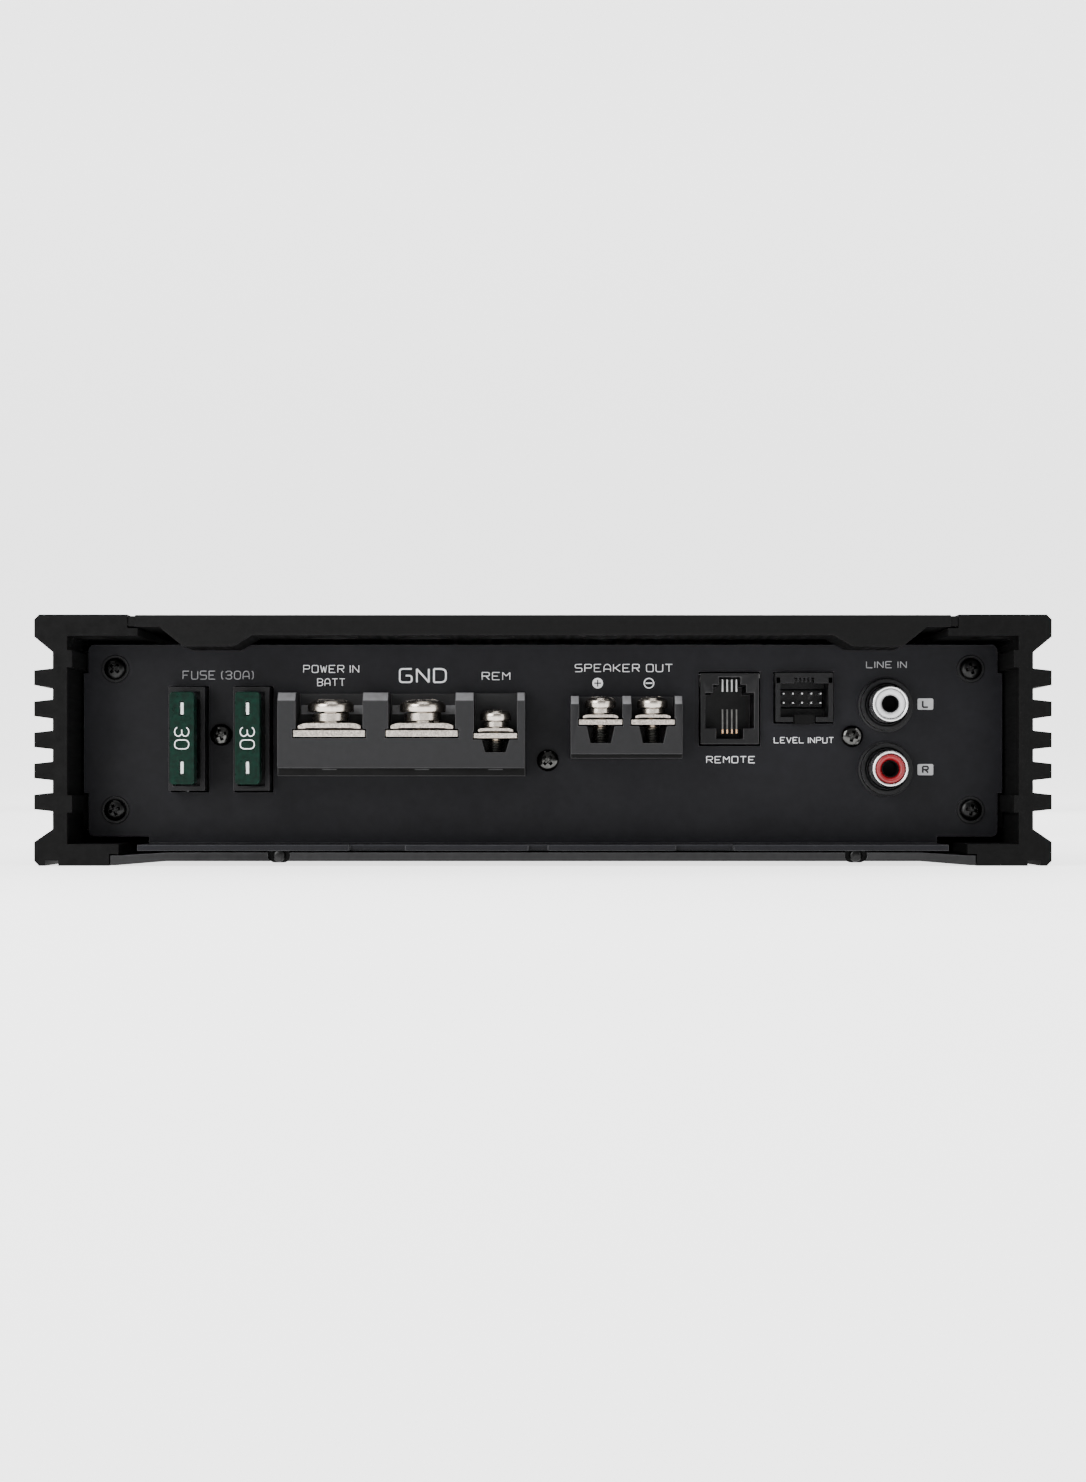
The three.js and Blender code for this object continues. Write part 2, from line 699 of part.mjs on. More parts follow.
// The terminal screw with its captive spring washer, turned about its own axis.
function terminalScrew({ x, size }) {
  const { headR, neckR, shankR, headZ, clampZ, plateZ } = size;
  const [headLow, headHigh] = headZ;
  const tip = plateZ[0] - SHANK_OUT;
  const neckLow = clampZ[1] + 0.25;
  const dome = (headHigh - headLow) * 0.4;
  const sides = size === LARGE_TERMINAL ? LARGE_SIDES : SMALL_SIDES;
  const body = turned(
    [
      [0, tip],
      [shankR * 0.8, tip],
      [shankR, tip + 0.6],
      [shankR, neckLow],
      [neckR, neckLow],
      [neckR, headLow],
      [headR, headLow],
      [headR, headHigh - dome],
      [headR * 0.72, headHigh - dome * 0.3],
      [headR * 0.4, headHigh],
      [0, headHigh],
    ],
    sides,
  );
  const slotHalf = headR * 0.12;
  const slotReach = headR * 0.62;
  const slotZ = [headHigh - (headHigh - headLow) * 0.6, headHigh + 1];
  const cross = [
    box([-slotReach, slotReach], [-slotHalf, slotHalf], slotZ),
    box([-slotHalf, slotHalf], [-slotReach, slotReach], slotZ),
  ];
  return body.subtract(joined(cross)).translate([x, BLOCK_FACE + size.axisDepth, 0]);
}

// ---------------------------------------------------------------- sockets

// The remote level socket: a modular jack with a stepped recess for the plug's latch, and a lower one.
function remoteSocket() {
  const { x, z, proud, depth, mouthX, mouthZ, mouthDepth, steps, foot } = REMOTE_SOCKET;
  const front = -(PANEL_FACE + proud);
  const centre = (mouthX[0] + mouthX[1]) / 2;
  const mouthY = [front - 1, front + mouthDepth];
  let body = box(x, [front, front + depth], z);
  body = body.subtract(box(mouthX, mouthY, mouthZ));
  for (const [width, top] of steps) {
    body = body.subtract(box(around(centre, width / 2), mouthY, [mouthZ[1] - 1, top]));
  }
  const [footWidth, footZ] = foot;
  return body.subtract(box(around(centre, footWidth / 2), mouthY, [footZ, mouthZ[0] + 1]));
}

// The ten-way speaker level socket, with a latch notch in its top and bottom walls.
function levelSocket() {
  const { x, z, proud, depth, wall, mouthDepth, notchWidth } = LEVEL_SOCKET;
  const front = -(PANEL_FACE + proud);
  const centre = (x[0] + x[1]) / 2;
  const notchX = around(centre, notchWidth / 2);
  const mouthY = [front - 1, front + mouthDepth];
  let body = box(x, [front, front + depth], z);
  body = body.subtract(box(grown(x, -wall), mouthY, grown(z, -wall)));
  body = body.subtract(box(notchX, [front - 1, front + 2], [z[0] - 1, z[0] + wall + 1]));
  const pinSeat = pinCarrier(GAP);
  return body.subtract(pinSeat);
}

// Ten pins on a common strip. A clearance grows it into its own seat.
function pinCarrier(clearance) {
  const { x, z, proud, depth, mouthDepth, pinMargin } = LEVEL_SOCKET;
  const { pinPitch, pinColumns, pinRows, pinWidth, pinLength } = LEVEL_SOCKET;
  const seatY = -(PANEL_FACE + proud) + mouthDepth;
  const back = -(PANEL_FACE + proud) + depth;
  const centreX = (x[0] + x[1]) / 2;
  const centreZ = (z[0] + z[1]) / 2;
  const stripX = around(centreX, ((pinColumns - 1) / 2) * pinPitch + pinMargin + clearance);
  const stripZ = around(centreZ, ((pinRows - 1) / 2) * pinPitch + pinMargin + clearance);
  const strip = box(stripX, [seatY - 0.6, back + 1], stripZ);
  const pins = [];
  for (let column = 0; column < pinColumns; column++) {
    for (let row = 0; row < pinRows; row++) {
      const pinX = centreX + (column - (pinColumns - 1) / 2) * pinPitch;
      const pinZ = centreZ + (row - (pinRows - 1) / 2) * pinPitch;
      const pinY = [seatY - pinLength, seatY];
      pins.push(box(around(pinX, pinWidth / 2), pinY, around(pinZ, pinWidth / 2)));
    }
  }
  return joined([strip, ...pins]);
}

function phonoBody() {
  const { x, z, body, collarR, collarProud, shellR } = PHONO;
  let block = box(body.x, [-(PANEL_BACK - GAP), -body.back], body.z);
  const collarY = [-(PANEL_FACE + collarProud), -body.back - 1];
  const boreY = [-HALF_LENGTH, -(body.back + body.floor)];
  for (const centre of z) {
    block = block.add(rodY(collarR, x, collarY, centre, LARGE_SIDES));
    block = block.subtract(rodY(shellR + GAP, x, boreY, centre, LARGE_SIDES));
  }
  return block;
}

function phonoShell(z) {
  const { x, shellR, shellWall, shellProud, body } = PHONO;
  const y = [-(PANEL_FACE + shellProud), -(body.back + body.floor + GAP)];
  const outer = rodY(shellR, x, y, z, LARGE_SIDES);
  return outer.subtract(rodY(shellR - shellWall, x, grown(y, 1), z, LARGE_SIDES));
}

function phonoInsert(z) {
  const { x, shellR, shellWall, shellProud, holeR, body } = PHONO;
  const y = [-(PANEL_FACE + shellProud - GAP), -(body.back + body.floor + GAP)];
  const outer = rodY(shellR - shellWall - 0.2, x, y, z, LARGE_SIDES);
  return outer.subtract(rodY(holeR, x, [y[0] - 1, y[1] - 2], z));
}

// ---------------------------------------------------------------- controls

function potentiometer(x) {
  const inner = PANEL_BACK - GAP;
  const body = box(around(x, POT.half), [inner - POT.depth, inner], around(CONTROL_Z, POT.half));
  return body.add(rodY(POT.shaftR, x, [inner - 1, PANEL_FACE + POT.shaftOut], CONTROL_Z));
}

// A knob that fits over its shaft, with a pointer groove in its face.
function knob(x) {
  const inner = PANEL_FACE + 0.5;
  const outer = inner + KNOB.height;
  const skirt = rodY(KNOB.r, x, [inner, outer], CONTROL_Z, LARGE_SIDES);
  const bore = rodY(POT.shaftR + GAP, x, [inner - 1, PANEL_FACE + POT.shaftOut + GAP], CONTROL_Z);
  const half = KNOB.pointer / 2;
  const groove = box(around(x, half), [outer - half, outer + 1], [CONTROL_Z + 0.5, CONTROL_Z + KNOB.r + 1]);
  return skirt.subtract(bore).subtract(groove);
}

function switchBody() {
  const { x, halfWidth, halfHeight, depth, slotDepth, stem, travel } = SWITCH;
  const inner = PANEL_BACK - GAP;
  const body = box(around(x, halfWidth), [inner - depth, inner], around(CONTROL_Z, halfHeight));
  const slotX = around(x, travel / 2 + stem / 2 + GAP);
  const slotZ = around(CONTROL_Z, stem / 2 + GAP);
  return body.subtract(box(slotX, [inner - slotDepth, inner + 1], slotZ));
}

// The switch's slider rests at its left stop.
function switchSlider() {
  const { x, slotDepth, stem, travel, stemOut } = SWITCH;
  const centre = x - travel / 2;
  const y = [PANEL_BACK - slotDepth + 0.1, PANEL_FACE + stemOut];
  return box(around(centre, stem / 2), y, around(CONTROL_Z, stem / 2));
}

function powerLight() {
  const { x, r, proud, flangeR, length } = LIGHT;
  const lens = rodY(r, x, [PANEL_BACK - length, PANEL_FACE + proud], CONTROL_Z);
  return lens.add(rodY(flangeR, x, [PANEL_BACK - length - 1, PANEL_BACK - GAP], CONTROL_Z));
}

function controlBoard() {
  return box([-CONTROL_BOARD.halfWidth, CONTROL_BOARD.halfWidth], CONTROL_BOARD.y, CONTROL_BOARD.z);
}

// ---------------------------------------------------------------- inside

function mainBoard() {
  const { halfWidth, halfLength, z } = BOARD;
  return box([-halfWidth, halfWidth], [-halfLength, halfLength], z);
}

// A wound ring standing on the board, its edges sloped by COIL_ROUND.
function ringCoil({ x, y, r, holeR, height }) {
  const low = BOARD.z[1] + GAP;
  const round = COIL_ROUND;
  const ring = turned(
    [
      [holeR, low + round],
      [holeR + round, low],
      [r - round, low],
      [r, low + round],
      [r, low + height - round],
      [r - round, low + height],
      [holeR + round, low + height],
      [holeR, low + height - round],
      [holeR, low + round],
    ],
    LARGE_SIDES,
  );
  return ring.translate([x, y, 0]);
}

function capacitor({ x, y }) {
  const low = BOARD.z[1] + GAP;
  const { r, height, rim } = CAPACITOR;
  const can = turned([
    [0, low],
    [r, low],
    [r, low + height - rim],
    [r - rim, low + height],
    [0, low + height],
  ]);
  return can.translate([x, y, 0]);
}

// A row of power transistors held on a heatsink's inner wall by one bar.
function transistorBank(side) {
  const [inner, wall] = BANK.x;
  const [width, thick] = BANK.package;
  const middle = (BANK.z[0] + BANK.z[1]) / 2;
  const barX = span(side * inner, side * (wall - thick + 1));
  let body = box(barX, around(0, BANK.halfLength), around(middle, BANK.barHalf));
  const pitch = (2 * BANK.halfLength) / BANK.count;
  for (let i = 0; i < BANK.count; i++) {
    const y = -BANK.halfLength + (i + 0.5) * pitch;
    body = body.add(box(span(side * (wall - thick), side * wall), around(y, width / 2), BANK.z));
  }
  return body;
}

// ---------------------------------------------------------------- assembly
addPiece("left_heatsink", "sink", heatsink(-1));
addPiece("right_heatsink", "sink", heatsink(1));
addPiece("top_cover", "cover", topCover());
addPiece("bottom_plate", "plate", bottomPlate());
addPiece("terminal_panel", "panel", terminalPanel());
addPiece("control_panel", "panel", controlPanel());

for (const [sideName, side] of [["left", -1], ["right", 1]]) {
  for (const [levelName, z] of [["lower", CORNER_SCREW.z[0]], ["upper", CORNER_SCREW.z[1]]]) {
    addPiece(`panel_screw_${sideName}_${levelName}`, "screw", panelScrew(side * CORNER_SCREW.x, z));
  }
}
for (const { name, x, z } of MIDDLE_SCREWS) {
  addPiece(name, "screw", panelScrew(x, z));
}

addPiece("fuse_holder", "plastic", fuseHolder());
for (const [i, x] of FUSE.x.entries()) {
  const fuse = new THREE.Group();
  addPiece(`fuse_body_${i + 1}`, "fuse", fuseBody(x), fuse);
  addPiece(`fuse_element_${i + 1}`, "nickel", fuseElement(x), fuse);
  amplifier.add(fuse);
}

addPiece("power_terminal_block", "block", terminalBlock("power", POWER_BLOCK));
addPiece("speaker_terminal_block", "block", terminalBlock("speaker", SPEAKER_BLOCK));
for (const terminal of TERMINALS) {
  addPiece(`${terminal.name}_plate`, "nickel", contactPlate(terminal));
  addPiece(`${terminal.name}_clamp`, "nickel", clampWasher(terminal));
  addPiece(`${terminal.name}_screw`, "nickel", terminalScrew(terminal));
}

addPiece("remote_socket", "plastic", remoteSocket());
addPiece("level_input_socket", "plastic", levelSocket());
addPiece("level_input_pins", "nickel", pinCarrier(0));
addPiece("phono_socket_body", "plastic", phonoBody());
for (const [i, channel] of ["right", "left"].entries()) {
  addPiece(`phono_shell_${channel}`, "nickel", phonoShell(PHONO.z[i]));
  addPiece(`phono_insert_${channel}`, channel === "left" ? "white" : "red", phonoInsert(PHONO.z[i]));
}

for (const { name, x } of POTS) {
  addPiece(`${name}_control`, "plastic", potentiometer(x));
  addPiece(`${name}_knob`, "plastic", knob(x));
}
addPiece("filter_switch_body", "plastic", switchBody());
addPiece("filter_switch_slider", "plastic", switchSlider());
addPiece("power_light", "light", powerLight());
addPiece("control_board", "board", controlBoard());

addPiece("main_board", "board", mainBoard());
addPiece("power_transformer", "copper", ringCoil(TRANSFORMER));
addPiece("output_inductor", "copper", ringCoil(INDUCTOR));
for (const place of CAPACITORS) {
  addPiece(place.name, "sleeve", capacitor(place));
}
addPiece("transistor_bank_left", "plastic", transistorBank(-1));
addPiece("transistor_bank_right", "plastic", transistorBank(1));

export default amplifier;
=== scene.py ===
"""The looks of the car amplifier: detailed pieces and procedural materials, in metres, in the CAD frame."""

import json
from math import cos, pi, radians, sin, tau

import bmesh
import bpy
from mathutils import Matrix, Vector


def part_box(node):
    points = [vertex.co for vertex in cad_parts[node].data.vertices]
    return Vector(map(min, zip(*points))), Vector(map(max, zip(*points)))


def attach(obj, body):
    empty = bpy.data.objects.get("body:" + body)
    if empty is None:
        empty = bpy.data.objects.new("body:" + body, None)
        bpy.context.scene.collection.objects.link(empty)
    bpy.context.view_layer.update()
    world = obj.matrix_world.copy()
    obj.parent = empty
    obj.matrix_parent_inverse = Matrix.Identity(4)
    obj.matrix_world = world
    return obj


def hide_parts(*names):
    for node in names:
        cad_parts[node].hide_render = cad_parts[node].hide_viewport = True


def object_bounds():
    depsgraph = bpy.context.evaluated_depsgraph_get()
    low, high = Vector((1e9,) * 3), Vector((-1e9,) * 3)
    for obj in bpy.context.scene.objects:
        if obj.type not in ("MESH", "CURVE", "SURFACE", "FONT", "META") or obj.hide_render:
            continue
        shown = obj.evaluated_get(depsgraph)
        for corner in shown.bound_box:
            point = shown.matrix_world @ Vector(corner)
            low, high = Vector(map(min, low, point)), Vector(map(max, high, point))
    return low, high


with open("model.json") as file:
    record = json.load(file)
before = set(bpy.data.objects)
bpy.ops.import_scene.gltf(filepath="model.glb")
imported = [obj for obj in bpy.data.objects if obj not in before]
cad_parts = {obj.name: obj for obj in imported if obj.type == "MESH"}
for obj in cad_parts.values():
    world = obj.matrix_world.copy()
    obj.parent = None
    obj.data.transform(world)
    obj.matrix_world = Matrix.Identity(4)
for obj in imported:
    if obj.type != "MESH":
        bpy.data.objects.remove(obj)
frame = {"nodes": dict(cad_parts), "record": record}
cad_low, cad_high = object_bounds()

MM = 0.001
MERGE = 1e-6  # points nearer than this are one point
LENGTH_HALF = (cad_high.y - cad_low.y) / 2
PANEL_Y = 92 * MM  # distance of both end panels' faces from the middle
SOFT_EDGE = 0.25 * MM
INK = 0.05 * MM  # thickness of printed marks
UNEVEN = 0.15  # how far a finish's gloss strays to either side, as a share of its roughness
RELIEF = 0.05 * MM  # height of a finish's bumps at full strength


# ---------------------------------------------------------------- materials


def noise(tree, coords, scale, detail=4.0, stretch=(1, 1, 1)):
    """A noise texture in object space. stretch squeezes it along an axis to make grain."""
    mapping = tree.nodes.new("ShaderNodeMapping")
    mapping.inputs["Scale"].default_value = stretch
    texture = tree.nodes.new("ShaderNodeTexNoise")
    texture.inputs["Scale"].default_value = scale
    texture.inputs["Detail"].default_value = detail
    tree.links.new(coords, mapping.inputs["Vector"])
    tree.links.new(mapping.outputs["Vector"], texture.inputs["Vector"])
    return texture.outputs["Fac"]


def ramp(tree, value, stops):
    """A colour ramp through (position, colour) stops."""
    node = tree.nodes.new("ShaderNodeValToRGB")
    band = node.color_ramp
    while len(band.elements) < len(stops):
        band.elements.new(0.5)
    for element, (position, colour) in zip(band.elements, stops):
        element.position = position
        element.color = (*colour, 1)
    tree.links.new(value, node.inputs["Fac"])
    return node.outputs["Color"]


def grey_ramp(tree, value, low, high):
    """Stretches the middle of a noise, from 0.3 to 0.7, into numbers from low to high."""
    node = tree.nodes.new("ShaderNodeMapRange")
    node.inputs["From Min"].default_value = 0.3
    node.inputs["From Max"].default_value = 0.7
    node.inputs["To Min"].default_value = low
    node.inputs["To Max"].default_value = high
    tree.links.new(value, node.inputs["Value"])
    return node.outputs["Result"]


def shades(colour, spread):
    """A darker and a lighter version of a colour."""
    dark = tuple(c * (1 - spread) for c in colour)
    light = tuple(min(1, c * (1 + spread)) for c in colour)
    return dark, light


def surface(
    name,
    colour,
    roughness,
    metallic=0.0,
    spread=0.15,
    grain=900.0,
    stretch=(1, 1, 1),
    bump=0.1,
    bump_scale=2500.0,
    coat=0.0,
    specular=0.5,
    transmission=0.0,
):
    """A procedural finish: mottled colour, uneven gloss and fine relief, all in object space."""
    material = bpy.data.materials.new(name)
    material.use_nodes = True
    tree = material.node_tree
    shader = tree.nodes["Principled BSDF"]
    coords = tree.nodes.new("ShaderNodeTexCoord").outputs["Object"]
    dark, light = shades(colour, spread)
    mottle = noise(tree, coords, grain, 5.0, stretch)
    tree.links.new(ramp(tree, mottle, [(0.3, dark), (0.7, light)]), shader.inputs["Base Color"])
    gloss = noise(tree, coords, grain * 0.35, 3.0, stretch)
    low = roughness * (1 - UNEVEN)
    high = roughness * (1 + UNEVEN)
    tree.links.new(grey_ramp(tree, gloss, low, high), shader.inputs["Roughness"])
    relief = tree.nodes.new("ShaderNodeBump")
    relief.inputs["Strength"].default_value = bump
    relief.inputs["Distance"].default_value = RELIEF
    tree.links.new(noise(tree, coords, bump_scale, 6.0, stretch), relief.inputs["Height"])
    tree.links.new(relief.outputs["Normal"], shader.inputs["Normal"])
    shader.inputs["Metallic"].default_value = metallic
    shader.inputs["Specular IOR Level"].default_value = specular
    shader.inputs["Coat Weight"].default_value = coat
    shader.inputs["Transmission Weight"].default_value = transmission
    return material


def grey(value):
    """A neutral colour."""
    return (value, value, value)


def make_finishes():
    """Every finish of the amplifier, by a plain name."""
    along = (1, 0.06, 1)  # extrusion lines run along Y
    even = (1, 1, 1)
    dull = 0.08  # the anodised faces hardly shine
    # Each *_edge finish is a lighter copy of its face finish, for rounded edges: partly worn edges, partly
    # a painted highlight along them.
    return {
        "sink": surface(
            "anodised_sink", grey(0.0026), 0.66, 0.0, 0.2, 1400, along, 0.12, 2200, specular=dull
        ),
        "sink_edge": surface(
            "anodised_sink_edge", grey(0.022), 0.5, 0.0, 0.3, 700, along, specular=0.3
        ),
        "cover": surface(
            "anodised_cover", grey(0.0036), 0.6, 0.0, 0.12, 1800, along, 0.06, 2600, specular=dull
        ),
        "cover_edge": surface(
            "anodised_cover_edge", grey(0.03), 0.45, 0.0, 0.3, 700, along, specular=0.3
        ),
        "plate": surface(
            "bottom_plate_paint", (0.01, 0.01, 0.0105), 0.42, 0.0, 0.2, 600, along, specular=0.2
        ),
        "plate_edge": surface("bottom_plate_edge", (0.06, 0.06, 0.062), 0.38, 0.3, 0.2, 600),
        "panel": surface(
            "panel_paint", (0.0066, 0.0066, 0.0084), 0.42, 0.0, 0.12, 450, even, 0.22, 2600, specular=0.14
        ),
        "panel_edge": surface("panel_edge", (0.025, 0.025, 0.028), 0.4, 0.0, 0.2, 600, specular=0.3),
        "block": surface(
            "block_plastic", (0.0068, 0.0068, 0.0076), 0.5, 0.0, 0.1, 900, bump=0.15, specular=0.25
        ),
        "block_edge": surface("block_edge", (0.024, 0.024, 0.025), 0.42, 0.0, 0.12, 900, specular=0.3),
        # A pale copy of the block's plastic for its up-facing slopes: painted light.
        "painted_light_slope": surface("painted_light_slope", (0.15, 0.15, 0.155), 0.5, 0.0, 0.12, 900),
        # A pale grey for the bays' back walls: painted highlight.
        "strip": surface("painted_ledge_highlight", (0.12, 0.12, 0.125), 0.5, 0.0, 0.12, 900),
        "black": surface(
            "black_plastic", (0.0045, 0.0045, 0.005), 0.38, 0.0, 0.2, 900, bump=0.12, specular=0.2
        ),
        "black_edge": surface(
            "black_plastic_edge", (0.014, 0.014, 0.015), 0.32, 0.0, 0.2, 900, specular=0.4
        ),
        "screw": surface("black_screw", grey(0.02), 0.3, 1.0, 0.3, 1500, bump=0.2),
        "bright_screw": surface("bright_black_screw", (0.06, 0.06, 0.058), 0.16, 1.0, 0.3, 1500, bump=0.2),
        "nickel": surface(
            "warm_nickel", (0.55, 0.5, 0.44), 0.25, 1.0, 0.12, 1300, (1, 1, 0.4), 0.22, 3000
        ),
        "tin": surface("matte_tin", (0.5, 0.45, 0.4), 0.32, 1.0, 0.55, 3000, bump=0.9, bump_scale=3200),
        "phono": surface("phono_nickel", grey(0.82), 0.28, 1.0, 0.08, 900),
        "fuse": surface(
            "fuse_plastic", (0.0006, 0.011, 0.0065), 0.3, 0.0, 0.5, 900, even, 0.3, 1400, specular=0.12
        ),
        "fuse_slot": surface("fuse_slot_metal", (0.86, 0.9, 0.88), 0.3, 0.6, 0.05, 900),
        "ink": surface("white_ink", (0.9, 0.9, 0.92), 0.6, 0.0, 0.04, 900, bump=0.05),
        "faint_ink": surface("faint_ink", (0.3, 0.3, 0.31), 0.6, 0.0, 0.06, 900, bump=0.05),
        "badge": surface("grey_ink", (0.42, 0.42, 0.43), 0.6, 0.0, 0.06, 900, bump=0.05),
        "badge_letter": surface("dark_ink", (0.006, 0.006, 0.007), 0.6, 0.0, 0.1, 900, bump=0.05),
        "white": surface("white_plastic", (0.62, 0.62, 0.63), 0.34, 0.0, 0.03, 700),
        "red": surface("red_plastic", (0.2, 0.005, 0.009), 0.34, 0.0, 0.12, 700),
        # Near black for bores, gaps, notches, pockets and the block's foot: painted shade.
        "dark": surface("painted_shade_black", grey(0.002), 0.6, 0.0, 0.2, 700, specular=0.1),
        "gold": surface("gold_contact", (0.8, 0.5, 0.3), 0.25, 1.0, 0.1, 1200),
        # A darker copy of the contact metal, for metal that sits in shade: painted shade.
        "shaded_metal": surface("dull_contact", (0.12, 0.12, 0.115), 0.35, 1.0, 0.2, 1200),
        "silver": surface("silver_contact", grey(0.5), 0.35, 1.0, 0.1, 1200),
        "board": surface("solder_resist", (0.012, 0.1, 0.04), 0.4, 0.0, 0.2, 300, coat=0.3),
        "copper": surface("lacquered_wire", (0.45, 0.16, 0.05), 0.3, 0.8, 0.25, 900, (1, 1, 0.1)),
        "sleeve": surface("capacitor_sleeve", (0.02, 0.03, 0.09), 0.35, 0.0, 0.1, 600),
        "epoxy": surface("transistor_epoxy", (0.015, 0.015, 0.016), 0.5, 0.0, 0.2, 900),
        "knob": surface("knob_plastic", (0.014, 0.014, 0.015), 0.42, 0.0, 0.2, 900, bump=0.2),
        "lens": surface(
            "blue_lens", (0.02, 0.08, 0.6), 0.12, 0.0, 0.1, 500, coat=0.5, transmission=0.4
        ),
    }


finishes = make_finishes()


# ---------------------------------------------------------------- mesh helpers


def new_object(name, mesh):
    piece = bpy.data.objects.new(name, mesh)
    bpy.context.scene.collection.objects.link(piece)
    return piece


def object_from(name, shape, sharp=35):
    """A smooth shaded object from a bmesh, with edges over the sharp angle kept hard."""
    bmesh.ops.recalc_face_normals(shape, faces=shape.faces)
    mesh = bpy.data.meshes.new(name)
    shape.to_mesh(mesh)
    shape.free()
    for polygon in mesh.polygons:
        polygon.use_smooth = True
    mesh.set_sharp_from_angle(angle=radians(sharp))
    return new_object(name, mesh)


def paint(piece, *names):
    """Sets a piece's materials, the first for its faces and the second for its edges: lighter, partly for
    wear and partly as a painted edge highlight.
    """
    piece.data.materials.clear()
    for name in names:
        piece.data.materials.append(finishes[name])
    return piece


def soften(piece, width, segments=2, edge_material=0):
    """Rounds a piece's hard edges, and gives the rounding the edge's material, lighter partly for wear and
    partly as a painted edge highlight.
    """
    bevel = piece.modifiers.new("soft_edges", "BEVEL")
    bevel.width = width
    bevel.segments = segments
    bevel.limit_method = "ANGLE"
    bevel.angle_limit = radians(30)
    bevel.harden_normals = True
    bevel.material = edge_material
    return piece


def place(piece, body, slot, *nodes):
    """Rides a piece on its body and hides the CAD nodes that it stands for; its slot argument is not used.
    """
    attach(piece, body)
    if nodes:
        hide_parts(*nodes)
    return piece


def body_of_node(node):
    for body, nodes in frame["record"]["behaviour"]["bodies"].items():
        if node in nodes:
            return body
    raise KeyError(node)


def slot_of_node(node):
    for row in frame["record"]["subparts"]:
        if row["node"] == node:
            return row["material_slot"]
    raise KeyError(node)


def refined(node, face, edge, width=SOFT_EDGE, segments=2):
    """A piece with a CAD node's shape: its triangles joined into clean faces, and its edges rounded."""
    shape = bmesh.new()
    shape.from_mesh(frame["nodes"][node].data)
    bmesh.ops.remove_doubles(shape, verts=shape.verts, dist=MERGE)
    bmesh.ops.dissolve_limit(shape, angle_limit=radians(1), verts=shape.verts, edges=shape.edges)
    piece = object_from("fine_" + node, shape)
    paint(piece, face, edge)
    soften(piece, width, segments, edge_material=1)
    return place(piece, body_of_node(node), slot_of_node(node), node)


def ring_faces(shape, rings, closed=False):
    """Joins rings of vertices, each as long as the next, with quads."""
    pairs = list(zip(rings, rings[1:]))
    if closed:
        pairs.append((rings[-1], rings[0]))
    for lower, upper in pairs:
        count = len(lower)
        for i in range(count):
            j = (i + 1) % count
            shape.faces.new((lower[i], lower[j], upper[j], upper[i]))


def lathe(name, profile, sides=64, closed=False, sharp=35):
    """A profile of (radius, height) points turned about Z. Points at radius 0 close it at the axis."""
    shape = bmesh.new()
    rings = []
    for radius, height in profile:
        ring = []
        for i in range(sides):
            angle = tau * i / sides
            ring.append(shape.verts.new((radius * cos(angle), radius * sin(angle), height)))
        rings.append(ring)
    ring_faces(shape, rings, closed)
    bmesh.ops.remove_doubles(shape, verts=shape.verts, dist=MERGE)
    return object_from(name, shape, sharp)


def prism(name, outline, depth, sharp=35):
    """An outline of (x, y) points drawn out along Z from 0 to depth."""
    shape = bmesh.new()
    lower = [shape.verts.new((x, y, 0)) for x, y in outline]
    upper = [shape.verts.new((x, y, depth)) for x, y in outline]
    ring_faces(shape, [lower, upper])
    shape.faces.new(lower)
    shape.faces.new(upper)
    return object_from(name, shape, sharp)


def rounded_outline(half_x, half_y, radius, steps=5):
    """A rectangle with round corners."""
    points = []
    for corner, (sx, sy) in enumerate([(1, 1), (-1, 1), (-1, -1), (1, -1)]):
        for step in range(steps + 1):
            angle = (corner + step / steps) * pi / 2
            x = sx * (half_x - radius) + radius * cos(angle)
            y = sy * (half_y - radius) + radius * sin(angle)
            points.append((x, y))
    return points


def block(name, low, high):
    """A box between two corners."""
    shape = bmesh.new()
    bmesh.ops.create_cube(shape, size=1)
    low, high = Vector(low), Vector(high)
    size = high - low
    for vert in shape.verts:
        vert.co = (low + high) / 2 + Vector(c * s for c, s in zip(vert.co, size))
    return object_from(name, shape)


def moved(piece, matrix):
    """Moves a piece's own mesh, so that its origin stays at the frame's origin."""
    piece.data.transform(matrix)
    if matrix.determinant() < 0:
        piece.data.flip_normals()
    return piece


def outwards(x, z, end=-1, proud=0.0):
    """The matrix that puts a piece modelled along +Z on an end panel, pointing out of the case."""
    turn = Matrix.Rotation(radians(90), 4, "X")
    if end > 0:
        turn = Matrix.Rotation(pi, 4, "Z") @ turn
    return Matrix.Translation((x, end * (PANEL_Y + proud), z)) @ turn


def joined(name, pieces):
    """Several pieces as one."""
    shape = bmesh.new()
    for piece in pieces:
        shape.from_mesh(piece.data)
        mesh = piece.data
        bpy.data.objects.remove(piece)
        bpy.data.meshes.remove(mesh)
    return object_from(name, shape)


def carved(piece, cutters):
    """Cuts the cutters out of a piece, and removes them."""
    for cutter in cutters:
        cut = piece.modifiers.new("cut", "BOOLEAN")
        cut.operation = "DIFFERENCE"
        cut.solver = "EXACT"
        cut.object = cutter
    bpy.context.view_layer.update()
    shown = piece.evaluated_get(bpy.context.evaluated_depsgraph_get())
    mesh = bpy.data.meshes.new_from_object(shown)
    piece.modifiers.clear()
    old = piece.data
    piece.data = mesh
    bpy.data.meshes.remove(old)
    for cutter in cutters:
        bpy.data.objects.remove(cutter)
    for polygon in mesh.polygons:
        polygon.use_smooth = True
    mesh.set_sharp_from_angle(angle=radians(35))
    return piece


def carved_under(piece, cutter):
    """Cuts a cutter out of a piece's own mesh, before the modifiers that it already has."""
    waiting = [(m.width, m.segments, m.material) for m in piece.modifiers]
    piece.modifiers.clear()
    carved(piece, [cutter])
    for width, segments, edge_material in waiting:
        soften(piece, width, segments, edge_material)
    return piece


# ---------------------------------------------------------------- camera, lights and floor


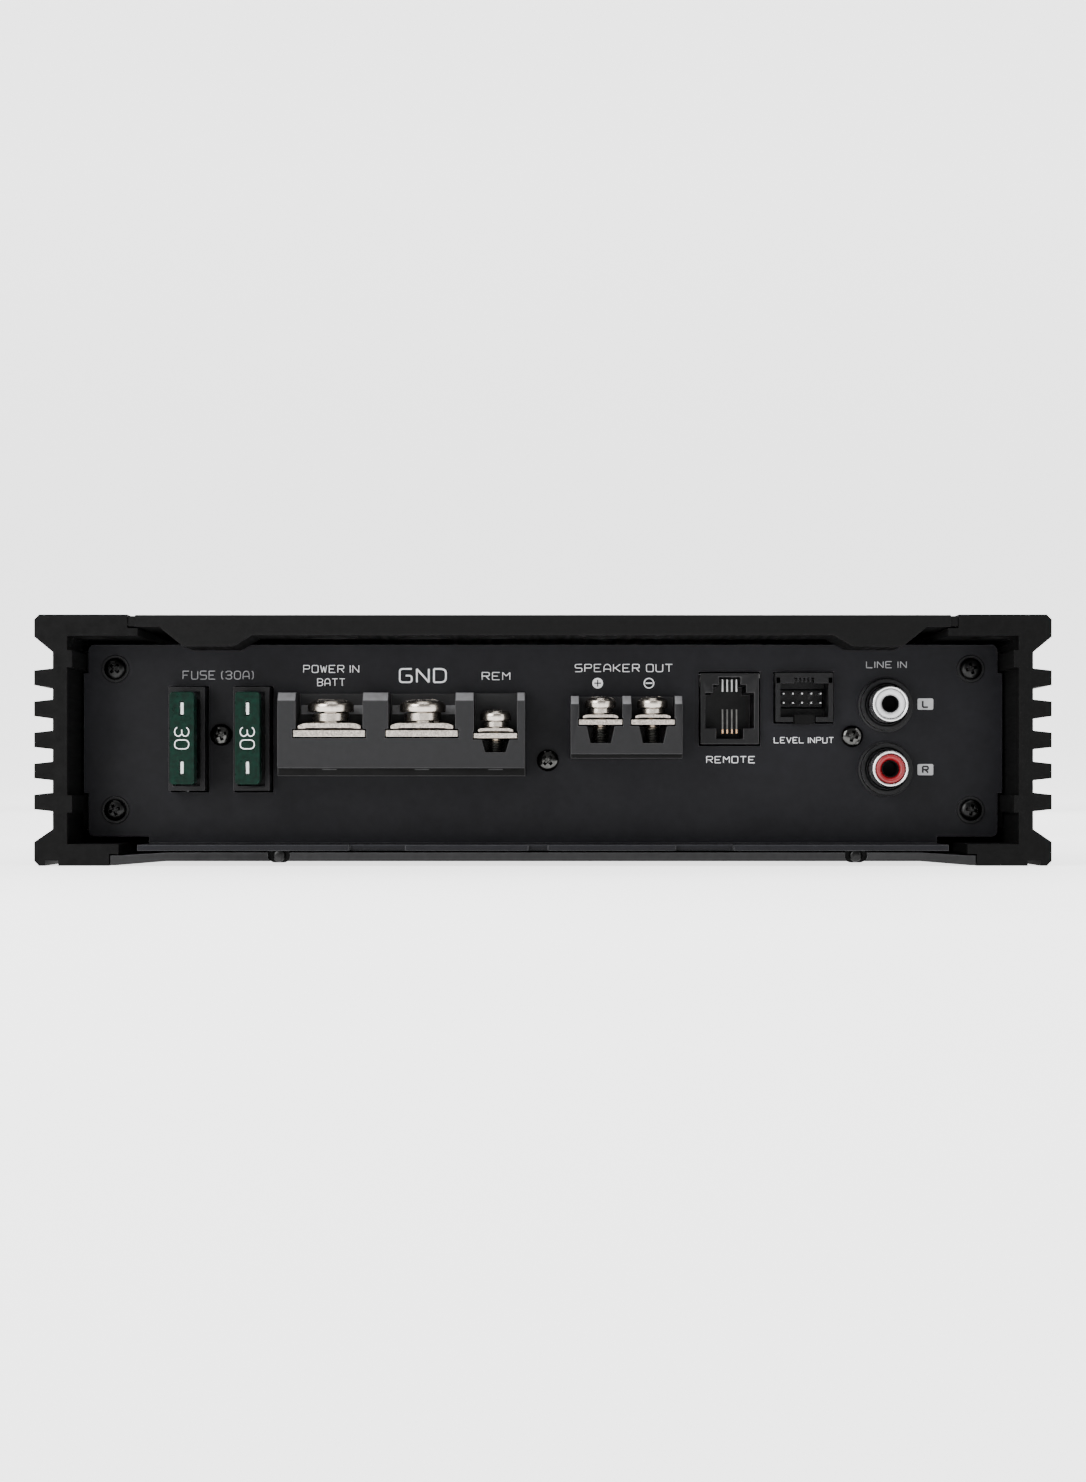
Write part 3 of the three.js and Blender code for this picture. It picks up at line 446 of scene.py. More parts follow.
def make_camera():
    """A camera level with the panel's lower half, a little way in front of the terminal end."""
    distance = 0.6
    height = 15.5 * MM
    data = bpy.data.cameras.new("camera")
    data.lens = 71.3
    data.sensor_width = 36
    data.shift_x = -0.0013
    data.shift_y = 0.0331
    data.clip_start = 0.01
    camera = new_object("camera", data)
    camera.location = (0.4 * MM, -LENGTH_HALF - distance, height)
    camera.rotation_euler = (radians(90), 0, 0)
    bpy.context.scene.camera = camera


def add_area(name, location, target, size, power):
    """A soft rectangular light that points at a target."""
    data = bpy.data.lights.new(name, "AREA")
    data.shape = "RECTANGLE"
    data.size, data.size_y = size
    data.energy = power
    light = new_object(name, data)
    light.location = location
    light.rotation_euler = (Vector(target) - Vector(location)).to_track_quat("-Z", "Y").to_euler()


def make_lights():
    """A key light from the left, a weaker one from the right, two soft ones above and a pale world."""
    middle = (0, -0.1, 0.025)
    add_area("key_left", (-0.45, -0.6, 0.3), (-0.07, -0.1, 0.03), (0.4, 0.4), 5)
    add_area("fill_right", (0.9, -0.8, 0.3), middle, (0.5, 0.4), 1.6)
    add_area("top_soft", (0, -0.3, 1.0), (0, 0, 0.05), (0.8, 0.8), 8)
    add_area("back_soft", (0.2, 1.2, 0.7), (0, 0.1, 0.03), (0.9, 0.6), 6)
    world = bpy.data.worlds.new("studio")
    world.use_nodes = True
    world.node_tree.nodes["Background"].inputs["Color"].default_value = (1, 1, 1, 1)
    world.node_tree.nodes["Background"].inputs["Strength"].default_value = 0.35
    bpy.context.scene.world = world


def make_floor():
    """A pale floor that curves up into a pale wall far behind."""
    material = surface("pale_floor", (0.86, 0.86, 0.86), 0.7, 0.0, 0.01, 20)
    shader = material.node_tree.nodes["Principled BSDF"]
    shader.inputs["Emission Color"].default_value = (1, 1, 1, 1)
    shader.inputs["Emission Strength"].default_value = 2.0
    shape = bmesh.new()
    half, near, bend, radius, wall_top = 20.0, -20.0, 3.0, 1.0, 5.0
    sunk = 0.02 * MM
    steps = 8
    rows = [(near, 0.0), (bend, 0.0)]
    for step in range(1, steps + 1):
        angle = step / steps * pi / 2
        rows.append((bend + radius * sin(angle), radius * (1 - cos(angle))))
    rows.append((bend + radius, wall_top))
    lines = []
    for y, z in rows:
        lines.append([shape.verts.new((x, y, z - sunk)) for x in (-half, half)])
    for (a, b), (c, d) in zip(lines, lines[1:]):
        shape.faces.new((a, b, d, c))
    floor = object_from("floor", shape)
    floor.data.materials.append(material)


make_camera()
make_lights()
make_floor()


# ---------------------------------------------------------------- case

refined("left_heatsink", "sink", "sink_edge", 0.28 * MM)
refined("right_heatsink", "sink", "sink_edge", 0.28 * MM)
refined("top_cover", "cover", "cover_edge", 0.35 * MM, 3)
refined("terminal_panel", "panel", "panel_edge", 0.14 * MM)
refined("control_panel", "panel", "panel_edge", 0.14 * MM)


def groove_shade_strip(name, side):
    """A dark strip in the groove between the cover and a heatsink's top flange: painted shade, for the
    shadow deep in the groove.
    """
    low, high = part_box("top_cover")
    inner, outer = high.x + 0.05 * MM, high.x + 1.5 * MM
    inset, bottom, top = 0.3 * MM, high.z - 2.3 * MM, high.z - 0.2 * MM
    near, far = sorted((side * inner, side * outer))
    strip = block("groove_shade_strip_" + name, (near, low.y + inset, bottom), (far, high.y - inset, top))
    paint(strip, "dark")
    place(strip, "chassis", "cover_black")


groove_shade_strip("left", -1)
groove_shade_strip("right", 1)


# ---------------------------------------------------------------- screws


def cross_cutters(reach, width, top, depth, tilt=0.0):
    """Two tapered bars that cut a Phillips recess down from height top."""
    cutters = []
    for turn in (0, pi / 2):
        shape = bmesh.new()
        for height, share in ((top + depth, 1.25), (top - depth, 0.45)):
            for sx, sy in ((-1, -1), (1, -1), (1, 1), (-1, 1)):
                shape.verts.new((sx * reach * share, sy * width * share, height))
        shape.verts.ensure_lookup_table()
        upper, lower = list(shape.verts[:4]), list(shape.verts[4:])
        ring_faces(shape, [lower, upper])
        shape.faces.new(lower)
        shape.faces.new(upper)
        bar = object_from("cutter", shape)
        cutters.append(moved(bar, Matrix.Rotation(turn + tilt, 4, "Z")))
    return cutters


def dome(radius, base, height, rim, steps=8):
    """Profile points of a pan head, from its rim over a round shoulder to its middle."""
    points = [(radius * 0.97, base), (radius, base + rim * 0.2), (radius, base + rim)]
    for step in range(1, steps):
        angle = step / steps * pi / 2
        points.append((radius * cos(angle) ** 0.6, base + rim + (height - rim) * sin(angle)))
    points.append((0, base + height))
    return points


def panel_screw(name, x, z, end, tilt, finish, ringed, *nodes):
    """A black pan-head Phillips screw, with or without a thin washer ring."""
    radius, height, rim = 2.3 * MM, 1.55 * MM, 0.55 * MM
    shank, length = 1.4 * MM, 6 * MM
    lift = 0.25 * MM
    shaft = [(0, -length), (shank, -length), (shank, 0)]
    head = lathe(name, shaft + dome(radius, 0, height, rim), 48)
    carved(head, cross_cutters(1.45 * MM, 0.42 * MM, height, 1.15 * MM, tilt))
    paint(head, finish)
    moved(head, outwards(x, z, end, lift))
    place(head, "chassis", "screw_black", *nodes)
    if not ringed:
        return
    inside, flat, outside = 2.35 * MM, 2.8 * MM, 2.95 * MM
    thick, rim = 0.22 * MM, 0.08 * MM
    section = [(inside, 0), (inside, thick), (flat, thick), (outside, rim), (outside, 0)]
    ring = lathe(name + "_washer", section, 48, closed=True)
    paint(ring, "black")
    moved(ring, outwards(x, z, end))
    place(ring, "chassis", "screw_black")


def paint_lit_slopes(piece, finish):
    """Gives a piece's sloped front edges, that look up and out at 45 degrees, another material: a pale one
    that paints in the light falling on these slopes.
    """
    piece.data.materials.append(finishes[finish])
    slope = Vector((0, -1, 1)).normalized()
    for polygon in piece.data.polygons:
        if polygon.normal.dot(slope) > 0.99:
            polygon.material_index = len(piece.data.materials) - 1
    return piece


def node_middle(node):
    low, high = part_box(node)
    return (low + high) / 2


corner_screws = sorted(node for node in frame["nodes"] if node.startswith("panel_screw_"))
for number, node in enumerate(corner_screws):
    middle = node_middle(node)
    panel_screw("fine_" + node, middle.x, middle.z, -1, 0.35 + number * 0.5, "screw", True, node)
    panel_screw("control_" + node, middle.x, middle.z, 1, 0.8 + number * 0.6, "screw", True)
for number, node in enumerate(("fuse_holder_screw", "terminal_block_screw", "input_socket_screw")):
    middle = node_middle(node)
    panel_screw("fine_" + node, middle.x, middle.z, -1, 0.3 + number * 0.5, "bright_screw", False, node)


def bottom_plate():
    """The bottom plate, with a small sunk screw at two places of its front edge, each in a pocket whose
    back is painted dark as painted shade.
    """
    plate = refined("bottom_plate", "plate", "plate_edge", 0.2 * MM)
    front = -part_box("bottom_plate")[0].y - PANEL_Y
    height, depth, head_depth = 2.1 * MM, 1.6 * MM, 1.3 * MM
    for name, x in (("left", -54 * MM), ("right", 64 * MM)):
        pocket = prism("cutter", rounded_outline(2.3 * MM, 1.5 * MM, 1.4 * MM), 3 * MM)
        moved(pocket, outwards(x, height, proud=front - depth))
        carved_under(plate, pocket)
        shaft = [(0, -2 * MM), (0.8 * MM, -2 * MM)]
        head = lathe("bottom_screw_" + name, shaft + dome(1.3 * MM, 0, 1 * MM, 0.4 * MM), 32)
        moved(head, outwards(x, height, proud=front - head_depth))
        paint(head, "screw")
        place(head, "chassis", "screw_black")
        # A near-black disc at the back of each pocket: painted shade in the pocket.
        recess = prism("bottom_pocket_shade_" + name, rounded_outline(2.25 * MM, 1.45 * MM, 1.35 * MM), 0.2 * MM)
        moved(recess, outwards(x, height, proud=front - depth))
        paint(recess, "dark")
        place(recess, "chassis", "bottom_plate_grey")


bottom_plate()


# ---------------------------------------------------------------- screw terminals


def thread(radius, low, high, pitch):
    """Profile points of a screw thread, drawn as a ring at each crest."""
    root = radius * 0.86
    points = []
    height = low
    while height + pitch <= high:
        points.append((root, height))
        points.append((radius, height + pitch / 2))
        height += pitch
    return points


def spring_washer(name, radius, bore, low, high, steps=72):
    """A split spring washer: a square section that climbs slightly round its turn."""
    thick = (high - low) * 0.76
    climb = (high - low) - thick
    split = 0.12
    shape = bmesh.new()
    rings = []
    for step in range(steps + 1):
        share = step / steps
        angle = share * (tau - split)
        base = low + climb * share
        section = [(bore, base), (radius, base), (radius, base + thick), (bore, base + thick)]
        rings.append([shape.verts.new((r * cos(angle), r * sin(angle), h)) for r, h in section])
    ring_faces(shape, rings)
    shape.faces.new(rings[0])
    shape.faces.new(rings[-1])
    return object_from(name, shape)


def terminal_screw(terminal, tilt):
    """A pan-head screw with its spring washer and thread. tilt turns its cross recess."""
    node = terminal + "_screw"
    low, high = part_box(node)
    clamp_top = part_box(terminal + "_clamp")[1].z
    radius = (high.x - low.x) / 2
    large = radius > 4 * MM
    axis = Matrix.Translation(((low.x + high.x) / 2, (low.y + high.y) / 2, 0))
    head_height = radius * (0.56 if large else 0.72)
    head_low = high.z - head_height
    shank = radius * 0.48
    pitch = (0.8 if large else 0.5) * MM
    profile = [(0, low.z), (shank * 0.7, low.z)]
    profile += thread(shank, low.z + 0.2 * MM, clamp_top, pitch)
    profile += [(shank, clamp_top), (shank, head_low)]
    profile += dome(radius, head_low, head_height, head_height * 0.45)
    screw = lathe("fine_" + node, profile, 72, sharp=50)
    carved(screw, cross_cutters(radius * 0.72, radius * 0.11, high.z, head_height * 0.62, tilt))
    paint(screw, "nickel", "shaded_metal")
    if not large:
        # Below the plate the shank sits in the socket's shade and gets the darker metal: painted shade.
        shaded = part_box(terminal + "_plate")[0].z - 0.9 * MM
        for polygon in screw.data.polygons:
            polygon.material_index = int(polygon.center.z < shaded)
    moved(screw, axis)
    place(screw, node, "terminal_nickel", node)
    washer_low = clamp_top + 0.04 * MM
    washer_name = terminal + "_spring_washer"
    washer = spring_washer(washer_name, radius * 0.8, shank * 1.08, washer_low, head_low)
    paint(washer, "nickel")
    moved(washer, axis @ Matrix.Rotation(tilt + 0.8, 4, "Z"))
    soften(washer, (head_low - washer_low) * 0.3, 3)
    place(washer, node, "terminal_nickel")


def clamp(terminal):
    """A square clamp washer whose two sides flare down over the wire."""
    node = terminal + "_clamp"
    low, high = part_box(node)
    screw_low, screw_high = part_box(terminal + "_screw")
    bore = (screw_high.x - screw_low.x) / 2 * 0.5 + 0.15 * MM
    centre = (low + high) / 2
    half = (high.x - low.x) / 2
    depth = (high.y - low.y) / 2
    thick = high.z - low.z
    flat = 0.7  # the share of the width that is flat
    shape = bmesh.new()
    columns = []
    for share in (-1, -0.93, -0.82, -flat, flat, 0.82, 0.93, 1):
        flare = max(0.0, abs(share) - flat) / (1 - flat)
        drop = flare * flare * thick * 0.45
        top = high.z - drop
        bottom = low.z if flare else low.z + thick * 0.12
        corners = ((-depth, top), (depth, top), (depth, bottom), (-depth, bottom))
        columns.append([shape.verts.new((share * half, y, z)) for y, z in corners])
    ring_faces(shape, columns)
    shape.faces.new(columns[0])
    shape.faces.new(columns[-1])
    piece = object_from("fine_" + node, shape)
    under, over = low.z - MM, high.z + MM
    hole = lathe("cutter", [(0, under), (bore, under), (bore, over), (0, over)], 48)
    carved(piece, [hole])
    moved(piece, Matrix.Translation((centre.x, centre.y, 0)))
    paint(piece, "tin")
    soften(piece, 0.12 * MM)
    return place(piece, node, "terminal_nickel", node)


# How far the cross recess of each terminal's screw is turned, in radians.
TERMINALS = {"battery": 0.6, "ground": -0.35, "remote": 0.87, "speaker_plus": 0.4, "speaker_minus": 1.1}


def terminal_block(node, shaded_foot_height, terminals):
    """A block whose up-facing slopes are painted pale as painted light, and whose foot is painted dark as
    painted shade; it has a small rib under each of its terminals.
    """
    piece = refined(node, "block", "block_edge", 0.18 * MM)
    paint_lit_slopes(piece, "painted_light_slope")
    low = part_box(node)[0]
    # The foot's near-black paint is painted shade: the shadow under the block.
    piece.data.materials.append(finishes["dark"])
    for polygon in piece.data.polygons:
        if polygon.center.z < low.z + shaded_foot_height:
            polygon.material_index = len(piece.data.materials) - 1
    for terminal in terminals:
        x = node_middle(terminal + "_screw").x
        half, depth, thick = 1.5 * MM, 0.5 * MM, 0.22 * MM
        bottom = low.z + shaded_foot_height - 0.45 * MM
        front = low.y + 1.1 * MM
        corner = (x + half, front + depth, bottom + thick)
        rib = block(terminal + "_foot_rib", (x - half, front, bottom), corner)
        paint(rib, "block_edge")
        place(rib, "chassis", "block_grey")


def grown(piece, amount):
    """Moves a piece's two sides out, so that only a hairline is left beside it in its slot."""
    low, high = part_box(piece.name.removeprefix("fine_"))
    for vertex in piece.data.vertices:
        if abs(vertex.co.x - low.x) < MERGE:
            vertex.co.x -= amount
        elif abs(vertex.co.x - high.x) < MERGE:
            vertex.co.x += amount
    return piece


def bay_painted_highlight(terminal):
    """A pale strip across the back wall of a large terminal's bay: a painted highlight for the light that
    falls on a ledge of that wall.
    """
    screw_low, screw_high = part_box(terminal + "_screw")
    centre = (screw_low.x + screw_high.x) / 2
    half, half_thick = 6.6 * MM, 0.2 * MM
    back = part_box("power_terminal_block")[0].y + 10.8 * MM
    bottom, top = screw_high.z - 3 * MM, screw_high.z - 1.1 * MM
    strip = block(
        terminal + "_bay_painted_highlight",
        (centre - half, back - half_thick, bottom),
        (centre + half, back + half_thick, top),
    )
    paint(strip, "strip")
    place(strip, "chassis", "block_grey")


terminal_block("power_terminal_block", 1.7 * MM, ("battery", "ground", "remote"))
terminal_block("speaker_terminal_block", 1 * MM, ())
bay_painted_highlight("battery")
bay_painted_highlight("ground")
for terminal, tilt in TERMINALS.items():
    grown(refined(terminal + "_plate", "tin", "nickel", 0.1 * MM), 0.12 * MM)
    clamp(terminal)
    terminal_screw(terminal, tilt)


# ---------------------------------------------------------------- lettering


# Each letter's strokes on a grid 4 wide and 6 high: pairs of x and y digits, a bar between strokes.
LETTERS = {
    "A": "00 04 16 36 44 40|02 42",
    "B": "00 06|03 33|06 36 45 44 33 42 41 30 00",
    "D": "00 06|06 36 45 41 30 00",
    "E": "00 06|06 46|03 33|00 40",
    "F": "00 06|06 46|03 33",
    "G": "46 06 00 40 43 23",
    "I": "00 06",
    "K": "00 06|46 13 03|13 40",
    "L": "06 00|00 40",
    "M": "00 06 23 46 40",
    "N": "00 06 40 46",
    "O": "00 06 46 40 00",
    "P": "00 06|06 46 43 03",
    "Q": "00 06 46 40 00|32 40",
    "R": "00 06|06 46 43 03|23 40",
    "S": "46 06 03 43 40 00",
    "T": "06 46|26 20",
    "U": "06 00 40 46",
    "V": "06 20 46",
    "W": "06 10 25 30 46",
    "X": "00 46|06 40",
    "0": "10 01 05 16 36 45 41 30 10",
    "1": "05 16 10",
    "2": "06 46 43 03 00 40",
    "3": "05 16 36 45 44 33 13|33 42 41 30 10 01",
    "5": "46 06 03 43 40 00",
    "8": "03 43|00 06 46 40 00",
    "(": "16 05 01 10",
    ")": "06 15 11 00",
    "+": "13 53|31 35",
}
LETTER_HIGH = 6
LETTER_SPACE = 1.7
WORD_SPACE = 2.6
CORNER = 1.1  # how far from a square corner its curve starts
CORNER_STEPS = 4


def round_corners(points):
    """One stroke's paths: square corners turn into short curves, and it is split at sharper ones."""
    closed = points[0] == points[-1]
    corners = points[:-1] if closed else points
    paths = []
    path = []
    for i, point in enumerate(corners):
        here = Vector(point)
        before = Vector(corners[i - 1]) - here
        after = Vector(corners[(i + 1) % len(corners)]) - here
        at_end = not closed and i in (0, len(corners) - 1)
        if at_end:
            path.append(here)
        elif before.normalized().dot(after.normalized()) > 0.2:
            paths.append((path + [here], False))
            path = [here]
        else:
            cut_in = before.normalized() * min(CORNER, before.length / 2)
            cut_out = after.normalized() * min(CORNER, after.length / 2)
            for step in range(CORNER_STEPS + 1):
                t = step / CORNER_STEPS
                path.append(here + cut_in * (1 - t) ** 2 + cut_out * t**2)
    paths.append((path, closed))
    return paths


def letter_paths(words):
    """The paths of some words' strokes on the letter grid, and their whole width."""
    paths = []
    left = 0
    for letter in words:
        if letter == " ":
            left += WORD_SPACE
            continue
        widest = 0
        for stroke in LETTERS[letter].split("|"):
            points = [(left + int(pair[0]), int(pair[1])) for pair in stroke.split()]
            widest = max(widest, max(x for x, _ in points) - left)
            paths.extend(round_corners(points))
        left += widest + LETTER_SPACE
    return paths, left - LETTER_SPACE


def label(
    name,
    words,
    x,
    z,
    height,
    width,
    finish="ink",
    end=-1,
    proud=0.0,
    turn=0.0,
    weight=0.15,
    body="chassis",
    slot="panel_black",
):
    """Printed words of a given height and width, centred on a point of an end panel."""
    paths, grid_width = letter_paths(words)
    stroke = height * weight
    across = (width - stroke) / grid_width
    upwards = (height - stroke) / LETTER_HIGH
    data = bpy.data.curves.new(name, "CURVE")
    data.dimensions = "3D"
    data.bevel_depth = stroke / 2
    data.bevel_resolution = 1
    data.use_fill_caps = True
    for path, closed in paths:
        spline = data.splines.new("POLY")
        spline.points.add(len(path) - 1)
        spline.use_cyclic_u = closed
        for point, (grid_x, grid_y) in zip(spline.points, path):
            right = (grid_x - grid_width / 2) * across
            up = (grid_y - LETTER_HIGH / 2) * upwards
            point.co = (right, up, 0, 1)
    outline = new_object(name + "_strokes", data)
    bpy.context.view_layer.update()
    mesh = bpy.data.meshes.new_from_object(outline.evaluated_get(bpy.context.evaluated_depsgraph_get()))
    bpy.data.objects.remove(outline)
    flatten = Matrix.Diagonal((1, 1, INK / stroke, 1))
    mesh.transform(Matrix.Translation((0, 0, INK / 2)) @ flatten)
    piece = new_object(name, mesh)
    moved(piece, outwards(x, z, end, proud) @ Matrix.Rotation(turn, 4, "Z"))
    paint(piece, finish)
    return place(piece, body, slot)


def badge(name, letter, x, z):
    """A light box with a dark letter."""
    box = prism(name + "_box", rounded_outline(1.65 * MM, 1.18 * MM, 0.3 * MM), INK)
    moved(box, outwards(x, z))
    paint(box, "badge")
    place(box, "chassis", "panel_black")
    label(name + "_letter", letter, x, z, 1.7 * MM, 1.5 * MM, "badge_letter", proud=INK, weight=0.22)


def polarity_marks(x_plus, x_minus, z):
    """A filled disc with a plus in it, and a ring with a minus in it."""
    radius, bar, thick = 1.12 * MM, 0.72 * MM, 0.13 * MM
    disc = lathe("mark_plus_disc", [(0, 0), (radius, 0), (radius, INK), (0, INK)], 48)
    paint(moved(disc, outwards(x_plus, z)), "ink")
    place(disc, "chassis", "panel_black")
    for name, half in (("across", (bar, thick)), ("upright", (thick, bar))):
        stroke = prism("mark_plus_" + name, rounded_outline(*half, thick / 2), INK)
        paint(moved(stroke, outwards(x_plus, z, proud=INK)), "badge_letter")
        place(stroke, "chassis", "panel_black")
    inside = radius * 0.8
    section = [(inside, 0), (radius, 0), (radius, INK), (inside, INK)]
    ring = lathe("mark_minus_ring", section, 48, closed=True)
    paint(moved(ring, outwards(x_minus, z)), "ink")
    place(ring, "chassis", "panel_black")
    stroke = prism("mark_minus_stroke", rounded_outline(bar, thick, thick / 2), INK)
    paint(moved(stroke, outwards(x_minus, z)), "ink")
    place(stroke, "chassis", "panel_black")


label("label_fuse", "FUSE (30A)", -68.4 * MM, 39.7 * MM, 1.9 * MM, 15 * MM, "faint_ink", weight=0.11)
label("label_power", "POWER IN", -44.6 * MM, 41 * MM, 1.65 * MM, 11.8 * MM, weight=0.1)
label("label_battery", "BATT", -44.6 * MM, 38.2 * MM, 1.65 * MM, 5.9 * MM, weight=0.1)
label("label_ground", "GND", -25.3 * MM, 39.6 * MM, 3.2 * MM, 10.1 * MM, weight=0.12)
label("label_remote_power", "REM", -9.9 * MM, 39.5 * MM, 1.7 * MM, 6 * MM, weight=0.1)
label("label_speaker", "SPEAKER OUT", 17 * MM, 41.2 * MM, 1.7 * MM, 20.6 * MM, weight=0.1)
polarity_marks(11.5 * MM, 22.3 * MM, 38 * MM)
label("label_remote_jack", "REMOTE", 39.5 * MM, 21.9 * MM, 1.5 * MM, 10.3 * MM, weight=0.12)
label("label_level", "LEVEL INPUT", 54.9 * MM, 26 * MM, 1.3 * MM, 12.6 * MM, weight=0.11)
label("label_line", "LINE IN", 72.3 * MM, 41.9 * MM, 1.5 * MM, 8.6 * MM, "faint_ink", weight=0.13)
badge("badge_left", "L", 80.5 * MM, 33.6 * MM)
badge("badge_right", "R", 80.5 * MM, 19.8 * MM)


# ---------------------------------------------------------------- fuses


def fuse(number):
    """A blade fuse: a green body with two test slots and its rating, and its metal element."""
    node = f"fuse_body_{number}"
    name = f"fuse_{number}"
    head_depth = 4.6 * MM
    slot_out = 6.1 * MM  # from the middle to each test slot
    low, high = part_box(node)
    centre = (low + high) / 2
    half_x, half_z = (high.x - low.x) / 2, (high.z - low.z) / 2
    head = prism("head", rounded_outline(half_x, half_z, 0.7 * MM), head_depth)
    waist_depth = high.y - low.y - 1.5 * MM
    waist_outline = rounded_outline(half_x - 0.7 * MM, half_z - 0.9 * MM, 0.5 * MM)
    waist = prism("waist", waist_outline, waist_depth)
    moved(waist, Matrix.Translation((0, 0, head_depth - (high.y - low.y))))
    cutters = []
    for end in (-1, 1):
        slot = prism("cutter", rounded_outline(0.42 * MM, 1.5 * MM, 0.3 * MM), 2 * MM)
        cutters.append(moved(slot, Matrix.Translation((0, end * slot_out, 3.4 * MM))))
    carved(head, cutters)
    body = joined("fine_" + node, [head, waist])
    soften(body, 0.16 * MM)
    paint(body, "fuse", "fuse")
    rise = -low.y - PANEL_Y - head_depth
    moved(body, outwards(centre.x, centre.z, proud=rise))
    place(body, name, "fuse_green", node)
    for end, side in ((-1, "lower"), (1, "upper")):
        outline = rounded_outline(0.3 * MM, 1.25 * MM, 0.2 * MM)
        plug = prism(f"{name}_contact_{side}", outline, 0.4 * MM)
        paint(plug, "fuse_slot")
        moved(plug, outwards(centre.x, centre.z + end * slot_out, proud=rise + 3.75 * MM))
        place(plug, name, "fuse_metal")
    label(
        name + "_rating",
        "30",
        centre.x,
        centre.z,
        3.1 * MM,
        4.6 * MM,
        proud=rise + head_depth,
        turn=-pi / 2,
        weight=0.065,
        body=name,
        slot="fuse_green",
    )
    refined(f"fuse_element_{number}", "tin", "nickel", 0.08 * MM)


refined("fuse_holder", "black", "black_edge", 0.3 * MM)
fuse(1)
fuse(2)


# ---------------------------------------------------------------- sockets


def phono_socket(channel, insert_finish, slot):
    """A phono socket: a nickel shell round a coloured insert with its bore lined in painted shade, in a
    black stepped collar.
    """
    low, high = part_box("phono_shell_" + channel)
    x, z = (low.x + high.x) / 2, (low.z + high.z) / 2
    rise = -low.y - PANEL_Y
    outer = (high.x - low.x) / 2 - 0.22 * MM
    inner = outer - 0.62 * MM
    shell_profile = [
        (inner, -3 * MM),
        (outer, -3 * MM),
        (outer, rise - 0.3 * MM),
        (outer - 0.12 * MM, rise - 0.08 * MM),
        (outer - 0.3 * MM, rise),
        (inner + 0.14 * MM, rise - 0.03 * MM),
        (inner, rise - 0.2 * MM),
    ]
    shell = lathe("fine_phono_shell_" + channel, shell_profile, 80, closed=True, sharp=60)
    paint(moved(shell, outwards(x, z)), "phono")
    place(shell, "chassis", "phono_nickel", "phono_shell_" + channel)
    bore = 1.75 * MM
    face = rise - 0.35 * MM
    side = inner - 0.14 * MM
    insert_profile = [
        (0, face - 7 * MM),
        (bore, face - 7 * MM),
        (bore, face - 0.7 * MM),
        (bore + 0.35 * MM, face - 0.2 * MM),
        (bore + 0.6 * MM, face),
        (inner - 0.35 * MM, face),
        (side, face - 0.25 * MM),
        (side, -2.5 * MM),
        (0, -2.5 * MM),
    ]
    insert = lathe("fine_phono_insert_" + channel, insert_profile, 80, sharp=50)
    paint(moved(insert, outwards(x, z)), insert_finish)
    place(insert, "chassis", slot, "phono_insert_" + channel)
    # A near-black lining in the bore: painted shade, so that the hole reads black.
    lining = bore - 0.02 * MM
    bore_shade_profile = [
        (0, face - 4 * MM),
        (0, face - 6.8 * MM),
        (lining, face - 6.8 * MM),
        (lining, face - 0.35 * MM),
        (bore - 0.14 * MM, face - 0.35 * MM),
        (bore - 0.3 * MM, face - 4 * MM),
    ]
    contact = lathe("phono_contact_" + channel, bore_shade_profile, 48, closed=True)
    paint(moved(contact, outwards(x, z)), "dark")
    place(contact, "chassis", "phono_nickel")
    collar_profile = [
        (outer + 0.08 * MM, -0.5 * MM),
        (outer + 0.08 * MM, 2.2 * MM),
        (outer + 0.4 * MM, 2.6 * MM),
        (4.6 * MM, 2.6 * MM),
        (4.7 * MM, 2.2 * MM),
        (5.15 * MM, 2.1 * MM),
        (5.35 * MM, 1.8 * MM),
        (5.4 * MM, 0.5 * MM),
        (5.75 * MM, 0.4 * MM),
        (5.8 * MM, 0.02 * MM),
        (5.0 * MM, 0.02 * MM),
        (5.0 * MM, -0.5 * MM),
    ]
    collar = lathe("phono_collar_" + channel, collar_profile, 80, closed=True, sharp=50)
    paint(moved(collar, outwards(x, z)), "black")
    place(collar, "chassis", "socket_black")


refined("phono_socket_body", "black", "black_edge", 0.1 * MM)
phono_socket("left", "white", "insert_white")
phono_socket("right", "red", "insert_red")


def contact_wires():
    """The remote jack's spring contacts: four upper ones and four lower ones with gilt tips."""
    low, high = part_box("remote_socket")
    centre = (low.x + high.x) / 2
    pitch, half = 0.98 * MM, 0.16 * MM
    front, back = low.y + 1.2 * MM, low.y + 1.6 * MM
    for i in range(4):
        x = centre + (i - 1.5) * pitch
        upper = block(
            f"remote_upper_contact_{i + 1}",
            (x - half, front, high.z - 3.9 * MM),
            (x + half, back, high.z - 1.3 * MM),
        )
        lower = block(
            f"remote_lower_contact_{i + 1}",
            (x - half, front, low.z + 2.6 * MM),
            (x + half, back, low.z + 7.4 * MM),
        )
        tip = block(
            f"remote_contact_tip_{i + 1}",
            (x - 0.18 * MM, low.y + 1.0 * MM, low.z + 2.3 * MM),
            (x + 0.18 * MM, low.y + 1.5 * MM, low.z + 3.2 * MM),
        )
        # The lower contacts get the darker metal, as painted shade inside the jack.
        for piece, finish in ((upper, "silver"), (lower, "shaded_metal"), (tip, "gold")):
            paint(piece, finish)
            soften(piece, 0.05 * MM)
            place(piece, "chassis", "terminal_nickel")


refined("remote_socket", "black", "black_edge", 0.16 * MM)
contact_wires()
refined("level_input_socket", "black", "black_edge", 0.06 * MM)


